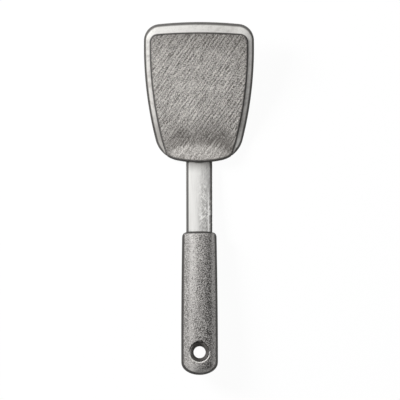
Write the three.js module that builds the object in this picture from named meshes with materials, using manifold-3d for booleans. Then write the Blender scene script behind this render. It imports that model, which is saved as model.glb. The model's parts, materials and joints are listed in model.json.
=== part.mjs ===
// A flexible kitchen turner: a two-tone silicone head over a spring steel core, riveted to a flat
// stainless stem whose tang is locked in a soft-grip handle with a hanging hole.
// Millimetres. X runs across the tool, Y from the butt to the front edge, Z up out of the face.

import * as THREE from 'three';
import { mergeVertices } from 'three/addons/utils/BufferGeometryUtils.js';
import Module from 'manifold-3d';

const wasm = await Module();
wasm.setup();

// Fit and facets
const FIT = 0.3; // gap between pieces that touch
const ARC_STEPS = 10; // straight steps in each arc of an outline, an even count
const ROUND_STEPS = 28; // facets round the handle and the eyelet
const HOLE_STEPS = 16; // facets round a hole or a rivet, an even count
const TAPER_STEPS = 4; // steps along the handle's sides
const DOME_STEPS = 3; // steps over a rivet's head and round each bend of the handle's outline
const OVERRUN = 20; // how far a cutting solid runs past what it cuts

// Head seen from above
const HEAD_LENGTH = 119;
const HEAD_WIDTH = 95.2;
const WIDEST_FROM_FRONT = 22;
const SIDE_RADIUS = 309;
const FRONT_RADIUS = 353;
const FRONT_CORNER = 14;
const HEEL_RADIUS = 95;
const HEEL_CORNER = 24;

// Head seen from the side
const SKIN = 1.5; // silicone over and under what it covers
const BEND_RADIUS = 35; // of the spring core where the head turns up from the stem
const BEND_ANGLE = THREE.MathUtils.degToRad(18);
const HEEL_ROUND = 20; // convex underside that the tool rests on
const HEEL_RAMP = THREE.MathUtils.degToRad(30); // steepest part of the underside

// Flexible edge
const LIP_SIDE = 5.5;
const LIP_FRONT = 9.3; // at the middle
const LIP_ROOT = 2; // thickness beside the pad
const LIP_EDGE = 0.8; // thickness at the outer edge
const LIP_END = 1.6; // width left where the lip stops at the heel
const LIP_TONGUE_DEPTH = 3;
const LIP_TONGUE_THICKNESS = 1;
const PAD_CORNER = 6.5;
const PAD_FRONT_RADIUS = 480;

// Spring core
const CORE_THICKNESS = 0.6;
const CORE_MARGIN = 5; // inside the edge of the pad
const CORE_CORNER = 9;
const CORE_HOLE = 8;
const CORE_HOLE_PITCH = 17;
const CORE_HOLE_COLUMNS = 3;
const CORE_HOLE_ROWS = 4;
const CORE_HOLES_FROM_BEND = 13; // end of the bend to the first row

// Rivets
const RIVET_DIAMETER = 3.5;
const RIVET_HEAD = 6.5;
const RIVET_HEAD_HEIGHT = 0.7;
const RIVET_SPACING = 12;
const RIVET_FROM_HEEL = 8;

// Stem
const STEM_WIDTH = 22.7;
const STEM_THICKNESS = 2.5;
const STEM_EXPOSED = 59.8;
const STEM_EDGE = 0.4; // chamfer along its edges
const TONGUE_LENGTH = 14; // inside the heel
const TONGUE_CORNER = 4;
const TANG_WIDTH = 14;
const TANG_CORNER = 5;
const TANG_TO_EYELET = 8;
const TANG_HOLE = 6;
const TANG_HOLES = 3;

// Handle
const GRIP_LENGTH = 124.7;
const GRIP_WIDTH = 31.8; // up to the eyelet
const GRIP_FRONT_WIDTH = 29.8;
const GRIP_BUTT_THICKNESS = 22;
const GRIP_FRONT_THICKNESS = 17;
const GRIP_BUTT_LENGTH = 10.8; // rounded end
const GRIP_FRONT_CORNER = 4.3;
const GRIP_FRONT_DOME = 0.8;
const GRIP_WALL = 4;

// Hanging eyelet
const EYELET_FROM_BUTT = 19.7;
const EYELET_DIAMETER = 16.6;
const EYELET_BORE = 10.5;
const EYELET_MOUTH = 15.6; // wide end of the countersink
const EYELET_SINK = 4; // depth of the countersink
const EYELET_RECESS = 0.4; // rim below the soft surface beside it

// Places along the tool that follow from the sizes above
const heel = GRIP_LENGTH + STEM_EXPOSED;
const front = heel + HEAD_LENGTH;
const bendStart = heel + TONGUE_LENGTH + FIT;
const bendEnd = bendStart + BEND_RADIUS * Math.sin(BEND_ANGLE);
const gripFront = GRIP_LENGTH;
const shoulder = gripFront - GRIP_WALL;
const tangEnd = EYELET_FROM_BUTT + EYELET_DIAMETER / 2 + TANG_TO_EYELET;

// Heights: the stem lies on Z = 0 and the spring core lies on the stem's tongue
const stemHalf = STEM_THICKNESS / 2;
const coreHeight = stemHalf + FIT + CORE_THICKNESS / 2;
const coreTop = coreHeight + CORE_THICKNESS / 2;
const padHalf = CORE_THICKNESS / 2 + FIT + SKIN;
const heelBottom = -stemHalf - FIT - SKIN;

// Solids

function toSolid(geometry) {
  geometry.deleteAttribute('normal');
  geometry.deleteAttribute('uv');
  const merged = mergeVertices(geometry);
  const index = merged.index.array;
  const kept = [];
  for (let i = 0; i < index.length; i += 3) {
    const [a, b, c] = index.subarray(i, i + 3);
    if (a !== b && b !== c && c !== a) kept.push(a, b, c);
  }
  return new wasm.Manifold(new wasm.Mesh({
    numProp: 3,
    vertProperties: merged.attributes.position.array,
    triVerts: new Uint32Array(kept),
  }));
}

function toGeometry(solid) {
  const { vertProperties, triVerts } = solid.getMesh();
  const geometry = new THREE.BufferGeometry();
  geometry.setAttribute('position', new THREE.BufferAttribute(vertProperties, 3));
  geometry.setIndex(new THREE.BufferAttribute(triVerts, 1));
  geometry.computeVertexNormals();
  return geometry;
}

// A plan outline carried straight up from one height to another
function prism(shape, low, high, steps = ARC_STEPS) {
  const geometry = new THREE.ExtrudeGeometry(shape, {
    depth: high - low,
    bevelEnabled: false,
    curveSegments: steps / 2,
  });
  return toSolid(geometry.translate(0, 0, low));
}

// A side profile, drawn in Y and Z, carried across the full width of the head
function acrossHead(profile) {
  const width = HEAD_WIDTH + OVERRUN;
  const geometry = new THREE.ExtrudeGeometry(profile, {
    depth: width,
    bevelEnabled: false,
    curveSegments: ARC_STEPS / 2,
  });
  const axes = new THREE.Matrix4().makeBasis(
    new THREE.Vector3(0, 1, 0),
    new THREE.Vector3(0, 0, 1),
    new THREE.Vector3(1, 0, 0),
  );
  return toSolid(geometry.applyMatrix4(axes).translate(-width / 2, 0, 0));
}

function circleShape(x, y, diameter) {
  return new THREE.Shape().absarc(x, y, diameter / 2, 0, Math.PI * 2);
}

function holePath(x, y, diameter) {
  return new THREE.Path().absarc(x, y, diameter / 2, 0, Math.PI * 2, true);
}

function rectangleShape(halfWidth, start, end) {
  return new THREE.Shape()
    .moveTo(-halfWidth, start)
    .lineTo(halfWidth, start)
    .lineTo(halfWidth, end)
    .lineTo(-halfWidth, end);
}

// Plan geometry: circles, where they meet, and arcs between angles

function circle(x, y, radius) {
  return { centre: new THREE.Vector2(x, y), radius };
}

function inset(round, distance) {
  return { centre: round.centre, radius: round.radius - distance };
}

function crossings(a, b) {
  const apart = b.centre.clone().sub(a.centre);
  const distance = apart.length();
  apart.normalize();
  const along = (a.radius ** 2 - b.radius ** 2 + distance ** 2) / (2 * distance);
  const aside = Math.sqrt(a.radius ** 2 - along ** 2);
  const middle = a.centre.clone().addScaledVector(apart, along);
  const normal = new THREE.Vector2(-apart.y, apart.x);
  return [1, -1].map((sign) => middle.clone().addScaledVector(normal, sign * aside));
}

// The circle that rounds the corner inside two larger ones, which an outline follows in this order
// when it goes round to the left
function cornerInside(a, b, radius) {
  const [centre] = crossings(inset(a, radius), inset(b, radius));
  return { centre, radius };
}

function directionTo(round, point) {
  return Math.atan2(point.y - round.centre.y, point.x - round.centre.x);
}

function onCircle(round, angle) {
  return new THREE.Vector2(Math.cos(angle), Math.sin(angle)).multiplyScalar(round.radius).add(round.centre);
}

function arc(round, from, to) {
  return { round, from, to };
}

// A closed outline from the arcs of its right half, heel to front, and their mirror images
function mirroredShape(arcs) {
  const shape = new THREE.Shape();
  for (const { round, from, to } of arcs) {
    shape.absarc(round.centre.x, round.centre.y, round.radius, from, to);
  }
  for (const { round, from, to } of [...arcs].reverse()) {
    shape.absarc(-round.centre.x, round.centre.y, round.radius, Math.PI - to, Math.PI - from);
  }
  return shape;
}

// Circles that the head's right half is drawn with
const sideRound = circle(HEAD_WIDTH / 2 - SIDE_RADIUS, front - WIDEST_FROM_FRONT, SIDE_RADIUS);
const frontRound = circle(0, front - FRONT_RADIUS, FRONT_RADIUS);
const heelRound = circle(0, heel + HEEL_RADIUS, HEEL_RADIUS);
const frontCorner = cornerInside(sideRound, frontRound, FRONT_CORNER);
const heelCorner = cornerInside(heelRound, sideRound, HEEL_CORNER);
const padSide = inset(sideRound, LIP_SIDE);
const padFront = circle(0, front - LIP_FRONT - PAD_FRONT_RADIUS, PAD_FRONT_RADIUS);
const padCorner = cornerInside(padSide, padFront, PAD_CORNER);

// Directions at which neighbouring arcs run into each other
const sideAtHeel = directionTo(sideRound, heelCorner.centre);
const sideAtFront = directionTo(sideRound, frontCorner.centre);
const heelAtCorner = directionTo(heelRound, heelCorner.centre);
const frontAtCorner = directionTo(frontRound, frontCorner.centre);
const straightAhead = Math.PI / 2;

// The lip stops where the pad's side comes within LIP_END of the head's outline
const [lipStop] = crossings(padSide, inset(heelCorner, LIP_END)).sort((a, b) => a.y - b.y);

function headShape(distance) {
  return mirroredShape([
    arc(inset(heelRound, distance), -straightAhead, heelAtCorner),
    arc(inset(heelCorner, distance), heelAtCorner, sideAtHeel),
    arc(inset(sideRound, distance), sideAtHeel, sideAtFront),
    arc(inset(frontCorner, distance), sideAtFront, frontAtCorner),
    arc(inset(frontRound, distance), frontAtCorner, straightAhead),
  ]);
}

// The pad's front and sides, moved inwards by a distance and left open past the heel
function padSidesShape(distance, corner) {
  const side = inset(padSide, distance);
  const ahead = inset(padFront, distance);
  const openEnd = Math.asin((heel - OVERRUN - side.centre.y) / side.radius);
  return mirroredShape([
    arc(side, openEnd, directionTo(side, corner.centre)),
    arc(corner, directionTo(side, corner.centre), directionTo(ahead, corner.centre)),
    arc(ahead, directionTo(ahead, corner.centre), straightAhead),
  ]);
}

// Side geometry: layers that follow the bend of the head

// Height of a layer that lies a given distance above the middle of the spring core
function layerHeight(y, above) {
  const radius = BEND_RADIUS - above;
  const turned = Math.min(Math.max(y - bendStart, 0), radius * Math.sin(BEND_ANGLE));
  const climbed = Math.max(y - bendStart - turned, 0) * Math.tan(BEND_ANGLE);
  return coreHeight + BEND_RADIUS - Math.sqrt(radius ** 2 - turned ** 2) + climbed;
}

function drawLayerTop(profile, start, end, above) {
  const bendTop = -straightAhead + BEND_ANGLE;
  return profile
    .lineTo(end, layerHeight(end, above))
    .absarc(bendStart, coreHeight + BEND_RADIUS, BEND_RADIUS - above, bendTop, -straightAhead, true)
    .lineTo(start, coreHeight + above);
}

function bentLayer(below, above, start, end) {
  const profile = new THREE.Shape()
    .moveTo(start, coreHeight + below)
    .lineTo(bendStart, coreHeight + below)
    .absarc(
      bendStart,
      coreHeight + BEND_RADIUS,
      BEND_RADIUS - below,
      -straightAhead,
      -straightAhead + BEND_ANGLE,
    )
    .lineTo(end, layerHeight(end, below));
  return acrossHead(drawLayerTop(profile, start, end, above));
}

// The pad from the side: level under the tongue, a round heel, then a ramp up to the blade
function padLayer() {
  const start = heel - OVERRUN;
  const end = front + OVERRUN;
  const rampStart = new THREE.Vector2(
    bendStart + HEEL_ROUND * Math.sin(HEEL_RAMP),
    heelBottom + HEEL_ROUND * (1 - Math.cos(HEEL_RAMP)),
  );
  const rise = layerHeight(end, -padHalf) - (end - rampStart.x) * Math.tan(BEND_ANGLE) - rampStart.y;
  const rampLength = rise / (Math.tan(HEEL_RAMP) - Math.tan(BEND_ANGLE));
  const profile = new THREE.Shape()
    .moveTo(start, heelBottom)
    .lineTo(bendStart, heelBottom)
    .absarc(bendStart, heelBottom + HEEL_ROUND, HEEL_ROUND, -straightAhead, -straightAhead + HEEL_RAMP)
    .lineTo(rampStart.x + rampLength, rampStart.y + rampLength * Math.tan(HEEL_RAMP))
    .lineTo(end, layerHeight(end, -padHalf));
  return acrossHead(drawLayerTop(profile, start, end, padHalf));
}

// Head

const cutLow = heelBottom - OVERRUN;
const cutHigh = layerHeight(front + OVERRUN, padHalf) + OVERRUN;

function coreHoleCentres() {
  const centres = [];
  for (let row = 0; row < CORE_HOLE_ROWS; row += 1) {
    for (let column = 0; column < CORE_HOLE_COLUMNS; column += 1) {
      centres.push(new THREE.Vector2(
        (column - (CORE_HOLE_COLUMNS - 1) / 2) * CORE_HOLE_PITCH,
        bendEnd + CORE_HOLES_FROM_BEND + row * CORE_HOLE_PITCH,
      ));
    }
  }
  return centres;
}

// The spring core grown all round by a distance, as the steel itself or as its room in the pad
function coreForm(grown) {
  const corner = cornerInside(inset(padSide, CORE_MARGIN), inset(padFront, CORE_MARGIN), CORE_CORNER);
  const half = CORE_THICKNESS / 2 + grown;
  let form = bentLayer(-half, half, heel, front)
    .intersect(prism(padSidesShape(CORE_MARGIN - grown, inset(corner, -grown)), cutLow, cutHigh))
    .intersect(prism(headShape(CORE_MARGIN - grown), cutLow, cutHigh));
  for (const { x, y } of coreHoleCentres()) {
    form = form.subtract(prism(circleShape(x, y, CORE_HOLE - 2 * grown), cutLow, cutHigh, HOLE_STEPS));
  }
  return form;
}

function springCore() {
  let core = coreForm(0);
  for (const x of rivetPlaces) {
    const hole = circleShape(x, rivetLine, RIVET_DIAMETER + 2 * FIT);
    core = core.subtract(prism(hole, cutLow, cutHigh, HOLE_STEPS));
  }
  return toGeometry(core);
}

function headPad() {
  const shoulders = prism(rectangleShape(HEAD_WIDTH / 2, heel - OVERRUN, lipStop.y - FIT), cutLow, cutHigh);
  const outline = prism(padSidesShape(0, padCorner), cutLow, cutHigh)
    .add(shoulders)
    .intersect(prism(headShape(0), cutLow, cutHigh));

  const grooveDepth = LIP_TONGUE_DEPTH + FIT;
  const grooveHalf = LIP_TONGUE_THICKNESS / 2 + FIT;
  const groove = bentLayer(-grooveHalf, grooveHalf, lipStop.y - FIT, front)
    .subtract(prism(padSidesShape(grooveDepth, inset(padCorner, grooveDepth)), cutLow, cutHigh));

  const tongueRoom = prism(
    rectangleShape(STEM_WIDTH / 2 + FIT, heel - OVERRUN, heel + TONGUE_LENGTH + FIT),
    -stemHalf - FIT,
    coreHeight,
  );
  let pad = padLayer().intersect(outline).subtract(groove).subtract(coreForm(FIT)).subtract(tongueRoom);
  for (const x of rivetPlaces) {
    const rivetRoom = prism(
      circleShape(x, rivetLine, RIVET_HEAD + 2 * FIT),
      -rivetReach(stemHalf) - FIT,
      rivetReach(coreTop) + FIT,
      HOLE_STEPS,
    );
    pad = pad.subtract(rivetRoom);
  }
  return toGeometry(pad);
}

// How far a rivet reaches past the face that its head lies on
function rivetReach(face) {
  return face + FIT + RIVET_HEAD_HEIGHT;
}

// Stretches of the lip's right half: its outer edge and the pad's edge, each from heel to front
function lipStretches() {
  const stop = directionTo(padSide, lipStop);
  const outerStop = Math.asin((lipStop.y - heelCorner.centre.y) / heelCorner.radius);
  const padAtCorner = directionTo(padSide, padCorner.centre);
  const padAhead = directionTo(padFront, padCorner.centre);
  return [
    [arc(heelCorner, outerStop, sideAtHeel), arc(padSide, stop, sideAtHeel)],
    [arc(sideRound, sideAtHeel, sideAtFront), arc(padSide, sideAtHeel, padAtCorner)],
    [arc(frontCorner, sideAtFront, frontAtCorner), arc(padCorner, padAtCorner, padAhead)],
    [arc(frontRound, frontAtCorner, straightAhead), arc(padFront, padAhead, straightAhead)],
  ];
}

// One cross section of the lip, round from its outer bottom edge: a wedge with a tongue on its root
function lipSection(outerArc, padArc, share) {
  const padAngle = THREE.MathUtils.lerp(padArc.from, padArc.to, share);
  const outer = onCircle(outerArc.round, THREE.MathUtils.lerp(outerArc.from, outerArc.to, share));
  const root = onCircle(inset(padArc.round, -FIT), padAngle);
  const tip = onCircle(inset(padArc.round, LIP_TONGUE_DEPTH), padAngle);
  const bottom = -LIP_ROOT / 2;
  const tongue = LIP_TONGUE_THICKNESS / 2;
  return [
    [outer, bottom],
    [outer, bottom + LIP_EDGE],
    [root, -bottom],
    [root, tongue],
    [tip, tongue],
    [tip, -tongue],
    [root, -tongue],
    [root, bottom],
  ].map(([{ x, y }, above]) => new THREE.Vector3(x, y, layerHeight(y, above)));
}

// A closed skin through cross sections of equal count, each end filled with the given triangles
function loft(sections, endTriangles) {
  const count = sections[0].length;
  const index = [];
  for (let ring = 0; ring + 1 < sections.length; ring += 1) {
    for (let point = 0; point < count; point += 1) {
      const here = ring * count + point;
      const beside = ring * count + ((point + 1) % count);
      index.push(here, here + count, beside, beside, here + count, beside + count);
    }
  }
  const last = (sections.length - 1) * count;
  for (const [a, b, c] of endTriangles) {
    index.push(a, b, c, last + a, last + c, last + b);
  }
  const geometry = new THREE.BufferGeometry().setFromPoints(sections.flat());
  geometry.setIndex(index);
  return geometry;
}

function flexibleEdge() {
  const stretches = lipStretches();
  const right = stretches.flatMap(([outerArc, padArc]) => (
    [...Array(ARC_STEPS).keys()].map((step) => lipSection(outerArc, padArc, step / ARC_STEPS))
  ));
  const middle = lipSection(...stretches.at(-1), 1);
  const left = right.map((section) => section.map(({ x, y, z }) => new THREE.Vector3(-x, y, z))).reverse();
  const wedgeAndTongue = [[0, 1, 2], [0, 2, 3], [0, 3, 6], [0, 6, 7], [3, 4, 5], [3, 5, 6]];
  return toGeometry(toSolid(loft([...right, middle, ...left], wedgeAndTongue)));
}

// Stem, rivets and handle

const tangPitch = (shoulder - tangEnd) / (TANG_HOLES + 1);
const rivetPlaces = [-RIVET_SPACING / 2, RIVET_SPACING / 2];
const rivetLine = heel + RIVET_FROM_HEEL;

// The tang's locking holes, drawn in all round by a distance
function tangHoles(distance) {
  const diameter = TANG_HOLE - 2 * distance;
  return [...Array(TANG_HOLES).keys()].map((i) => holePath(0, tangEnd + tangPitch * (i + 1), diameter));
}

// The rounded end of the tang, grown all round by a distance, from its left side to its right
function drawTangEnd(shape, grown) {
  const side = TANG_WIDTH / 2 - TANG_CORNER;
  const middle = tangEnd + TANG_CORNER;
  const corner = TANG_CORNER + grown;
  return shape
    .absarc(-side, middle, corner, Math.PI, 1.5 * Math.PI)
    .absarc(side, middle, corner, 1.5 * Math.PI, 2 * Math.PI);
}

function tangRoom() {
  const half = TANG_WIDTH / 2 + FIT;
  const shape = new THREE.Shape().moveTo(half, shoulder + OVERRUN).lineTo(-half, shoulder + OVERRUN);
  drawTangEnd(shape, FIT).holes.push(...tangHoles(FIT));
  return prism(shape, -stemHalf - FIT, stemHalf + FIT, HOLE_STEPS);
}

function stem() {
  const half = STEM_WIDTH / 2;
  const end = heel + TONGUE_LENGTH - TONGUE_CORNER;
  const shape = new THREE.Shape()
    .moveTo(TANG_WIDTH / 2, shoulder)
    .lineTo(half, shoulder)
    .absarc(half - TONGUE_CORNER, end, TONGUE_CORNER, 0, straightAhead)
    .absarc(-half + TONGUE_CORNER, end, TONGUE_CORNER, straightAhead, Math.PI)
    .lineTo(-half, shoulder)
    .lineTo(-TANG_WIDTH / 2, shoulder);
  drawTangEnd(shape, 0).holes.push(...tangHoles(0));
  shape.holes.push(...rivetPlaces.map((x) => holePath(x, rivetLine, RIVET_DIAMETER + 2 * FIT)));
  const depth = STEM_THICKNESS - 2 * STEM_EDGE;
  return new THREE.ExtrudeGeometry(shape, {
    depth,
    bevelThickness: STEM_EDGE,
    bevelSize: STEM_EDGE,
    bevelOffset: -STEM_EDGE,
    bevelSegments: 1,
    curveSegments: HOLE_STEPS / 2,
  }).translate(0, 0, -depth / 2);
}

// A rivet with a domed head under the tongue and another over the spring core
function rivet() {
  const head = RIVET_HEAD / 2;
  const shank = RIVET_DIAMETER / 2;
  const bottom = -rivetReach(stemHalf);
  const top = rivetReach(coreTop);
  const profile = new THREE.Path()
    .moveTo(0, bottom)
    .quadraticCurveTo(head, bottom, head, bottom + RIVET_HEAD_HEIGHT)
    .lineTo(shank, bottom + RIVET_HEAD_HEIGHT)
    .lineTo(shank, top - RIVET_HEAD_HEIGHT)
    .lineTo(head, top - RIVET_HEAD_HEIGHT)
    .quadraticCurveTo(head, top, 0, top);
  return new THREE.LatheGeometry(profile.getPoints(DOME_STEPS), HOLE_STEPS).rotateX(straightAhead);
}

function gripHalfThickness(y) {
  return THREE.MathUtils.lerp(GRIP_BUTT_THICKNESS, GRIP_FRONT_THICKNESS, y / gripFront) / 2;
}

// The grip keeps its width round the eyelet and narrows more and more towards its front
function gripHalfWidth(y) {
  const share = Math.max(y - EYELET_FROM_BUTT, 0) / (gripFront - EYELET_FROM_BUTT);
  return THREE.MathUtils.lerp(GRIP_WIDTH, GRIP_FRONT_WIDTH, share ** 2) / 2;
}

// The handle drawn in by a distance: turned from its half outline, then made oval and tapered
function handleForm(distance) {
  const half = GRIP_WIDTH / 2 - distance;
  const corner = Math.max(GRIP_FRONT_CORNER - distance, FIT);
  const flat = gripFront - distance - GRIP_FRONT_DOME;
  const sideLength = flat - corner - GRIP_BUTT_LENGTH;
  const profile = new THREE.Path()
    .absellipse(0, GRIP_BUTT_LENGTH, half, GRIP_BUTT_LENGTH - distance, -straightAhead, 0);
  for (let step = 1; step < TAPER_STEPS; step += 1) {
    profile.lineTo(half, GRIP_BUTT_LENGTH + sideLength * step / TAPER_STEPS);
  }
  profile
    .absarc(half - corner, flat - corner, corner, 0, straightAhead)
    .quadraticCurveTo((half - corner) / 2, gripFront - distance, 0, gripFront - distance);
  const geometry = new THREE.LatheGeometry(profile.getPoints(DOME_STEPS), ROUND_STEPS);
  const { position } = geometry.attributes;
  for (let i = 0; i < position.count; i += 1) {
    const y = position.getY(i);
    position.setX(i, position.getX(i) * (gripHalfWidth(y) - distance) / half);
    position.setZ(i, position.getZ(i) * (gripHalfThickness(y) - distance) / half);
  }
  return toSolid(geometry);
}

function eyeletRoom() {
  const hole = circleShape(0, EYELET_FROM_BUTT, EYELET_DIAMETER + 2 * FIT);
  return prism(hole, -GRIP_BUTT_THICKNESS, GRIP_BUTT_THICKNESS, HOLE_STEPS);
}

function handleCore() {
  return toGeometry(handleForm(GRIP_WALL + FIT).subtract(tangRoom()).subtract(eyeletRoom()));
}

function grip() {
  const mouthStart = shoulder - GRIP_FRONT_DOME - FIT;
  const mouth = rectangleShape(STEM_WIDTH / 2 + FIT, mouthStart, gripFront + OVERRUN);
  return toGeometry(
    handleForm(0)
      .subtract(handleForm(GRIP_WALL))
      .subtract(prism(mouth, -stemHalf - FIT, stemHalf + FIT))
      .subtract(eyeletRoom()),
  );
}

// A straight bush with a countersunk mouth at each end
function hangingEyelet() {
  const outer = EYELET_DIAMETER / 2;
  const bore = EYELET_BORE / 2;
  const mouth = EYELET_MOUTH / 2;
  const beside = Math.sqrt(1 - (EYELET_DIAMETER / GRIP_WIDTH) ** 2);
  const half = gripHalfThickness(EYELET_FROM_BUTT) * beside - EYELET_RECESS;
  const profile = new THREE.Path()
    .moveTo(outer, -half)
    .lineTo(outer, half)
    .lineTo(mouth, half)
    .lineTo(bore, half - EYELET_SINK)
    .lineTo(bore, EYELET_SINK - half)
    .lineTo(mouth, -half)
    .lineTo(outer, -half);
  return new THREE.LatheGeometry(profile.getPoints(), ROUND_STEPS).rotateX(straightAhead);
}

// Slope of the line that touches the grip's lower front edge and the round heel from below
function restSlope() {
  const edge = gripFront - GRIP_FRONT_DOME - GRIP_FRONT_CORNER;
  const edgeRound = GRIP_FRONT_CORNER * gripHalfThickness(edge) / (GRIP_WIDTH / 2);
  const along = bendStart - edge;
  const up = heelBottom + HEEL_ROUND + gripHalfThickness(edge) - edgeRound;
  return Math.atan2(up, along) - Math.asin((HEEL_ROUND - edgeRound) / Math.hypot(along, up));
}

// Assembly

function piece(name, geometry, color, roughness, metalness = 0) {
  const mesh = new THREE.Mesh(geometry, new THREE.MeshStandardMaterial({ color, roughness, metalness }));
  mesh.name = name;
  return mesh;
}

const tool = new THREE.Group();
tool.add(
  piece('head_pad', headPad(), 0x9a9692, 0.75),
  piece('flexible_edge', flexibleEdge(), 0xdddbd7, 0.6),
  piece('spring_core', springCore(), 0xb9bcbe, 0.35, 1),
  piece('stem', stem(), 0xd6d4d0, 0.35, 1),
  piece('handle_core', handleCore(), 0x4a4846, 0.6),
  piece('grip', grip(), 0x8b8783, 0.85),
);

rivetPlaces.forEach((x, i) => {
  const pin = piece(['rivet_left', 'rivet_right'][i], rivet(), 0xc9c7c3, 0.4, 1);
  pin.position.set(x, rivetLine, 0);
  tool.add(pin);
});

const eyelet = piece('hanging_eyelet', hangingEyelet(), 0x53504d, 0.55);
eyelet.position.y = EYELET_FROM_BUTT;
tool.add(eyelet);

// At rest the tool lies face up on its heel and the front of its grip, centred over the origin
tool.rotation.x = -restSlope();
const turner = new THREE.Group();
turner.add(tool);
turner.updateMatrixWorld(true);
const box = new THREE.Box3().setFromObject(turner, true);
tool.position.set(0, -(box.min.y + box.max.y) / 2, -box.min.z);

export default turner;
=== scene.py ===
"""Flexible turner, dressed for its picture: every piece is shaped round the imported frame."""

import json
import logging
import math
from dataclasses import dataclass
from enum import Enum
from typing import Any, Callable, Optional, Sequence, Union

import bmesh
import bpy
from mathutils import Matrix, Vector


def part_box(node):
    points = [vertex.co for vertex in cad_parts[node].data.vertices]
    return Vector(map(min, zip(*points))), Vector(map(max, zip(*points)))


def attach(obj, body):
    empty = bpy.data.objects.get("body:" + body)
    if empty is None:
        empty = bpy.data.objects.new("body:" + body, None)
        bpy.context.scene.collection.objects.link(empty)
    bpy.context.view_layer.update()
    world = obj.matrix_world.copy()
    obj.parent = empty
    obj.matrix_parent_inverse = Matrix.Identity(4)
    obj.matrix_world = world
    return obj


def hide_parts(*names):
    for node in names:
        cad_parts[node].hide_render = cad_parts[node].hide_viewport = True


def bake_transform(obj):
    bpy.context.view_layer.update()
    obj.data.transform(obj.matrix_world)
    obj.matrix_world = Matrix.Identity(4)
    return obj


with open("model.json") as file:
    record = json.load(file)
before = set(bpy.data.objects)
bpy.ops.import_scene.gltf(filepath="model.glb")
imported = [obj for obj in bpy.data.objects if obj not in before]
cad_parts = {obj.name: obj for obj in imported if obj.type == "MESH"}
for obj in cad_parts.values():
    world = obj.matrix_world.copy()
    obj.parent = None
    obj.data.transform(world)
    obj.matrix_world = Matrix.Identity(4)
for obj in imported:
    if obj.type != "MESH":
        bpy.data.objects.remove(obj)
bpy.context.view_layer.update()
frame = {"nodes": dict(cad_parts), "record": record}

LOG = logging.getLogger("flexible_turner")
MILLIMETRE = 0.001
WELD = 0.002
# Point attribute carrying the share of painted edge shade: a dark band painted along outlines where
# surfaces turn from the light.
RIM = "rim"
NOISE_MEAN = 0.5
QUARTER_TURN = math.pi / 2
LEFT_AND_RIGHT = (-1, 1)
ALONG_X = (1.0, 0.0, 0.0)
ALONG_Y = (0.0, 1.0, 0.0)
ALONG_Z = (0.0, 0.0, 1.0)
IN_PLAN = (1.0, 1.0, 0.0)

Colour = tuple[float, float, float, float]
Spot = tuple[float, float, float]
Span = tuple[float, float]
Operand = Union["Value", float]


def tone(red: int, green: int, blue: int) -> Colour:
    """Turn a display colour into the linear colour that a shader takes.

    Args:
        red: Red of the display colour, 0 to 255.
        green: Green of the display colour, 0 to 255.
        blue: Blue of the display colour, 0 to 255.

    Returns:
        The linear colour with an alpha of one.
    """
    def linear(level: int) -> float:
        """Undo the display curve for one channel."""
        share = level / 255
        return share / 12.92 if share <= 0.04045 else ((share + 0.055) / 1.055) ** 2.4

    return linear(red), linear(green), linear(blue), 1.0


def lerp(low: float, high: float, share: float) -> float:
    """Blend two numbers by a share from 0 to 1."""
    return low + (high - low) * share


def smooth(low: float, high: float, value: float) -> float:
    """Rise smoothly from 0 at low to 1 at high."""
    share = min(max((value - low) / (high - low), 0.0), 1.0)
    return share * share * (3 - 2 * share)


def quarter_turns(steps: int) -> list[float]:
    """Angles from zero to a quarter turn, in even steps."""
    return [QUARTER_TURN * step / steps for step in range(steps + 1)]


class Value:
    """A shader socket that takes part in arithmetic."""

    def __init__(self, bench: "ShaderBench", socket: bpy.types.NodeSocket) -> None:
        """Keep the socket and the bench that its nodes stand on."""
        self.bench = bench
        self.socket = socket

    def _math(self, operation: str, first: Operand, second: Operand) -> "Value":
        """Add one Math node and return its result."""
        return self.bench.node("ShaderNodeMath", {"operation": operation}, {0: first, 1: second})

    def __add__(self, other: Operand) -> "Value":
        """Add a number or a socket."""
        return self._math("ADD", self, other)

    def __radd__(self, other: Operand) -> "Value":
        """Add to a number."""
        return self._math("ADD", other, self)

    def __sub__(self, other: Operand) -> "Value":
        """Subtract a number or a socket."""
        return self._math("SUBTRACT", self, other)

    def __rsub__(self, other: Operand) -> "Value":
        """Subtract from a number."""
        return self._math("SUBTRACT", other, self)

    def __mul__(self, other: Operand) -> "Value":
        """Multiply by a number or a socket."""
        return self._math("MULTIPLY", self, other)

    def __rmul__(self, other: Operand) -> "Value":
        """Multiply a number."""
        return self._math("MULTIPLY", other, self)

    def __abs__(self) -> "Value":
        """Drop the sign."""
        return self._math("ABSOLUTE", self, 0.0)

    def sine(self) -> "Value":
        """The sine of an angle in radians."""
        return self._math("SINE", self, 0.0)

    def at_least(self, other: Operand) -> "Value":
        """Take the larger of two values."""
        return self._math("MAXIMUM", self, other)


@dataclass(frozen=True)
class Grain:
    """Noise in cycles per metre along axes turned about Z, with finer octaves and their share."""

    scale: Spot
    turn: float = 0.0
    detail: float = 0.0
    roughness: float = 0.5


@dataclass(frozen=True)
class Fade:
    """A smooth rise: nought up to its start, and its share from its end on."""

    start: float
    end: float
    share: float = 1.0


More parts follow.
